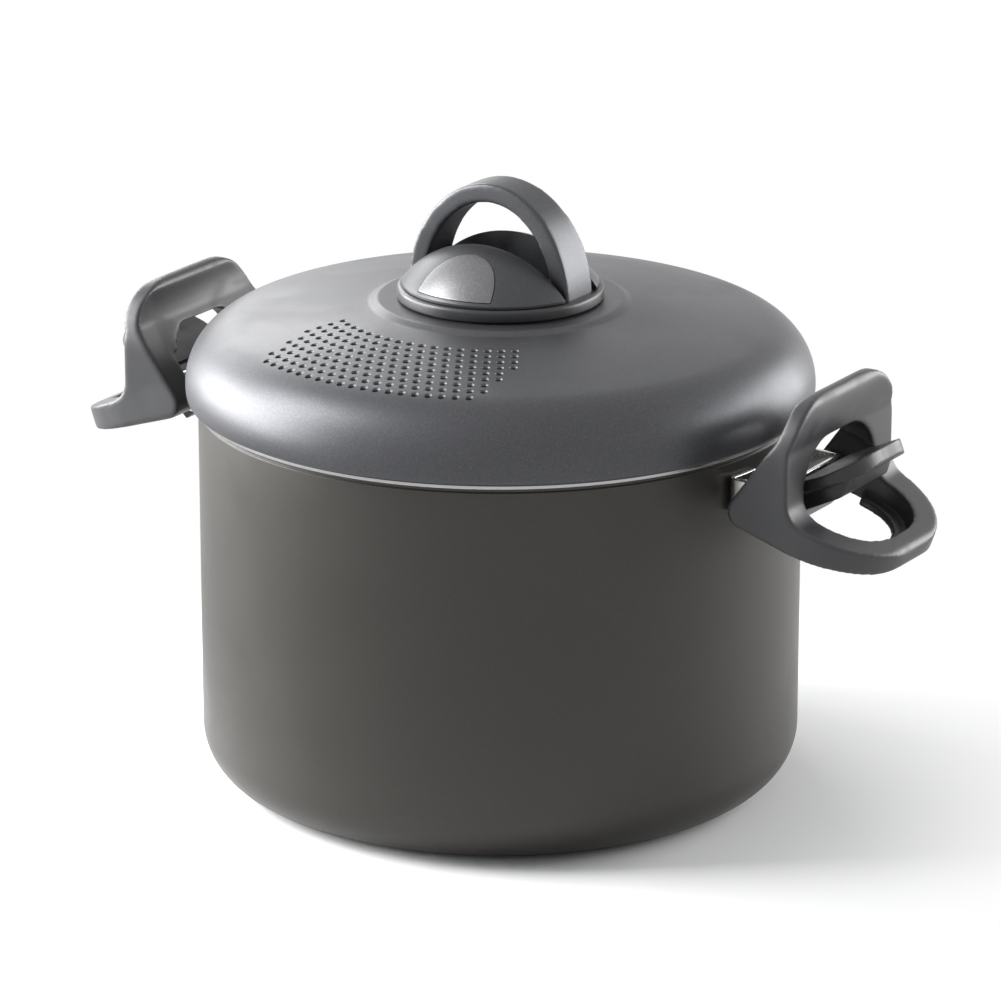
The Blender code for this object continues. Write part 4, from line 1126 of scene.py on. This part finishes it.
def seen_directly(tree):
    """A mask that is 1 for camera rays and for rays that shiny or clear surfaces send on."""
    rays = add(tree, "ShaderNodeLightPath").outputs
    clear = combine(tree, "ADD", rays["Is Camera Ray"], rays["Is Transmission Ray"])
    return combine(tree, "ADD", clear, rays["Is Glossy Ray"])


def studio_world():
    """A soft room, seen plain white by the camera and by shiny surfaces."""
    world = bpy.data.worlds.new("Soft room")
    bpy.context.scene.world = world
    world.use_nodes = True
    tree = world.node_tree
    tree.nodes.clear()
    soft = feed(tree, add(tree, "ShaderNodeBackground"), Color=ROOM_COLOUR, Strength=ROOM_STRENGTH)
    white = feed(tree, add(tree, "ShaderNodeBackground"), Color=WHITE)
    room = blend(tree, seen_directly(tree), soft, white)
    feed(tree, add(tree, "ShaderNodeOutputWorld"), Surface=room)


def floor_material():
    """A pale floor that fades to plain white away from the pot."""
    material = bpy.data.materials.new("Pale floor")
    material.use_nodes = True
    tree = material.node_tree
    shader = feed(tree, tree.nodes["Principled BSDF"],
                  Base_Color=FLOOR_COLOUR, Roughness=0.6, Specular_IOR_Level=0.1)
    place = add(tree, "ShaderNodeTexCoord")
    far = add(tree, "ShaderNodeVectorMath", operation="LENGTH")
    tree.links.new(place.outputs["Object"], far.inputs[0])
    fade = remap(tree, far.outputs["Value"], FADE_START, FADE_END)
    white = feed(tree, add(tree, "ShaderNodeEmission"), Color=WHITE)
    surface = blend(tree, combine(tree, "MULTIPLY", seen_directly(tree), fade), shader, white)
    feed(tree, tree.nodes["Material Output"], Surface=surface)
    return material


def soft_light(name, place, size, power):
    """A rectangular soft light aimed at the pot."""
    clear_selection()
    bpy.ops.object.light_add(type="AREA", location=place)
    lamp = bpy.context.object
    lamp.name = name
    lamp.data.shape = "RECTANGLE"
    lamp.data.size, lamp.data.size_y = size
    lamp.data.energy = power
    lamp.rotation_euler = (Vector(place) - Vector(LIGHT_TARGET)).to_track_quat("Z", "Y").to_euler()


class COLANDER_OT_stage(bpy.types.Operator):
    """Set up the pale floor, the soft studio light and the camera"""
    bl_idname = "colander.stage"
    bl_label = "Stage"

    def execute(self, context):
        settings = context.scene.colander_stage
        clear_selection()
        bpy.ops.mesh.primitive_grid_add(
            x_subdivisions=8, y_subdivisions=8, size=FLOOR_SIZE, location=(0, 0, 0))
        floor = bpy.context.object
        floor.name = "floor"
        floor.data.materials.append(floor_material())
        studio_world()
        for name, place, size, power in LIGHTS:
            soft_light(name, place, size, power)
        azimuth, elevation = settings.azimuth, settings.elevation
        level = math.cos(elevation)
        back = Vector((math.sin(azimuth) * level, -math.cos(azimuth) * level, math.sin(elevation)))
        bpy.ops.object.camera_add(location=Vector(VIEW_TARGET) + back * settings.distance)
        camera = bpy.context.object
        camera.name = "camera"
        camera.rotation_euler = back.to_track_quat("Z", "Y").to_euler()
        camera.data.sensor_width = SENSOR_WIDTH
        camera.data.lens = SENSOR_WIDTH * settings.distance / settings.view_width
        camera.data.clip_end = 100.0
        context.scene.camera = camera
        context.scene.view_settings.view_transform = "Standard"
        return {"FINISHED"}


PIECE_OPERATORS = (
    COLANDER_OT_pot, COLANDER_OT_lid, COLANDER_OT_knob, COLANDER_OT_brackets, COLANDER_OT_leaves,
    COLANDER_OT_frames, COLANDER_OT_fasteners, COLANDER_OT_stage)


class COLANDER_PT_panel(bpy.types.Panel):
    """Lists the sizes and the pieces of the colander pot"""
    bl_idname = "COLANDER_PT_panel"
    bl_label = "Colander Pot"
    bl_space_type = "VIEW_3D"
    bl_region_type = "UI"
    bl_category = "Colander Pot"

    def draw(self, context):
        for operator in PIECE_OPERATORS:
            self.layout.operator(operator.bl_idname)
        for group in GROUPS:
            settings = getattr(context.scene, group)
            for key in settings.bl_rna.properties.keys():
                if key not in ("rna_type", "name"):
                    self.layout.prop(settings, key, text=key.replace("_", " ").capitalize())


GROUPS = {
    "colander_pot": PotSizes, "colander_lid": LidSizes, "colander_knob": KnobSizes,
    "colander_handles": HandleSizes, "colander_finishes": Finishes, "colander_stage": StageSettings}


def register():
    for group in GROUPS.values():
        bpy.utils.register_class(group)
    for key, group in GROUPS.items():
        setattr(bpy.types.Scene, key, PointerProperty(type=group))
    for operator in PIECE_OPERATORS:
        bpy.utils.register_class(operator)
    bpy.utils.register_class(COLANDER_PT_panel)


def unregister():
    bpy.utils.unregister_class(COLANDER_PT_panel)
    for operator in reversed(PIECE_OPERATORS):
        bpy.utils.unregister_class(operator)
    for key in GROUPS:
        delattr(bpy.types.Scene, key)
    for group in reversed(list(GROUPS.values())):
        bpy.utils.unregister_class(group)


def main():
    register()
    make_materials(bpy.context.scene.colander_finishes)
    bpy.ops.colander.pot()
    bpy.ops.colander.lid()
    bpy.ops.colander.knob()
    bpy.ops.colander.brackets()
    bpy.ops.colander.leaves()
    bpy.ops.colander.frames()
    bpy.ops.colander.fasteners()
    bpy.ops.colander.stage()
    clear_selection()


if __name__ == "__main__":
    main()
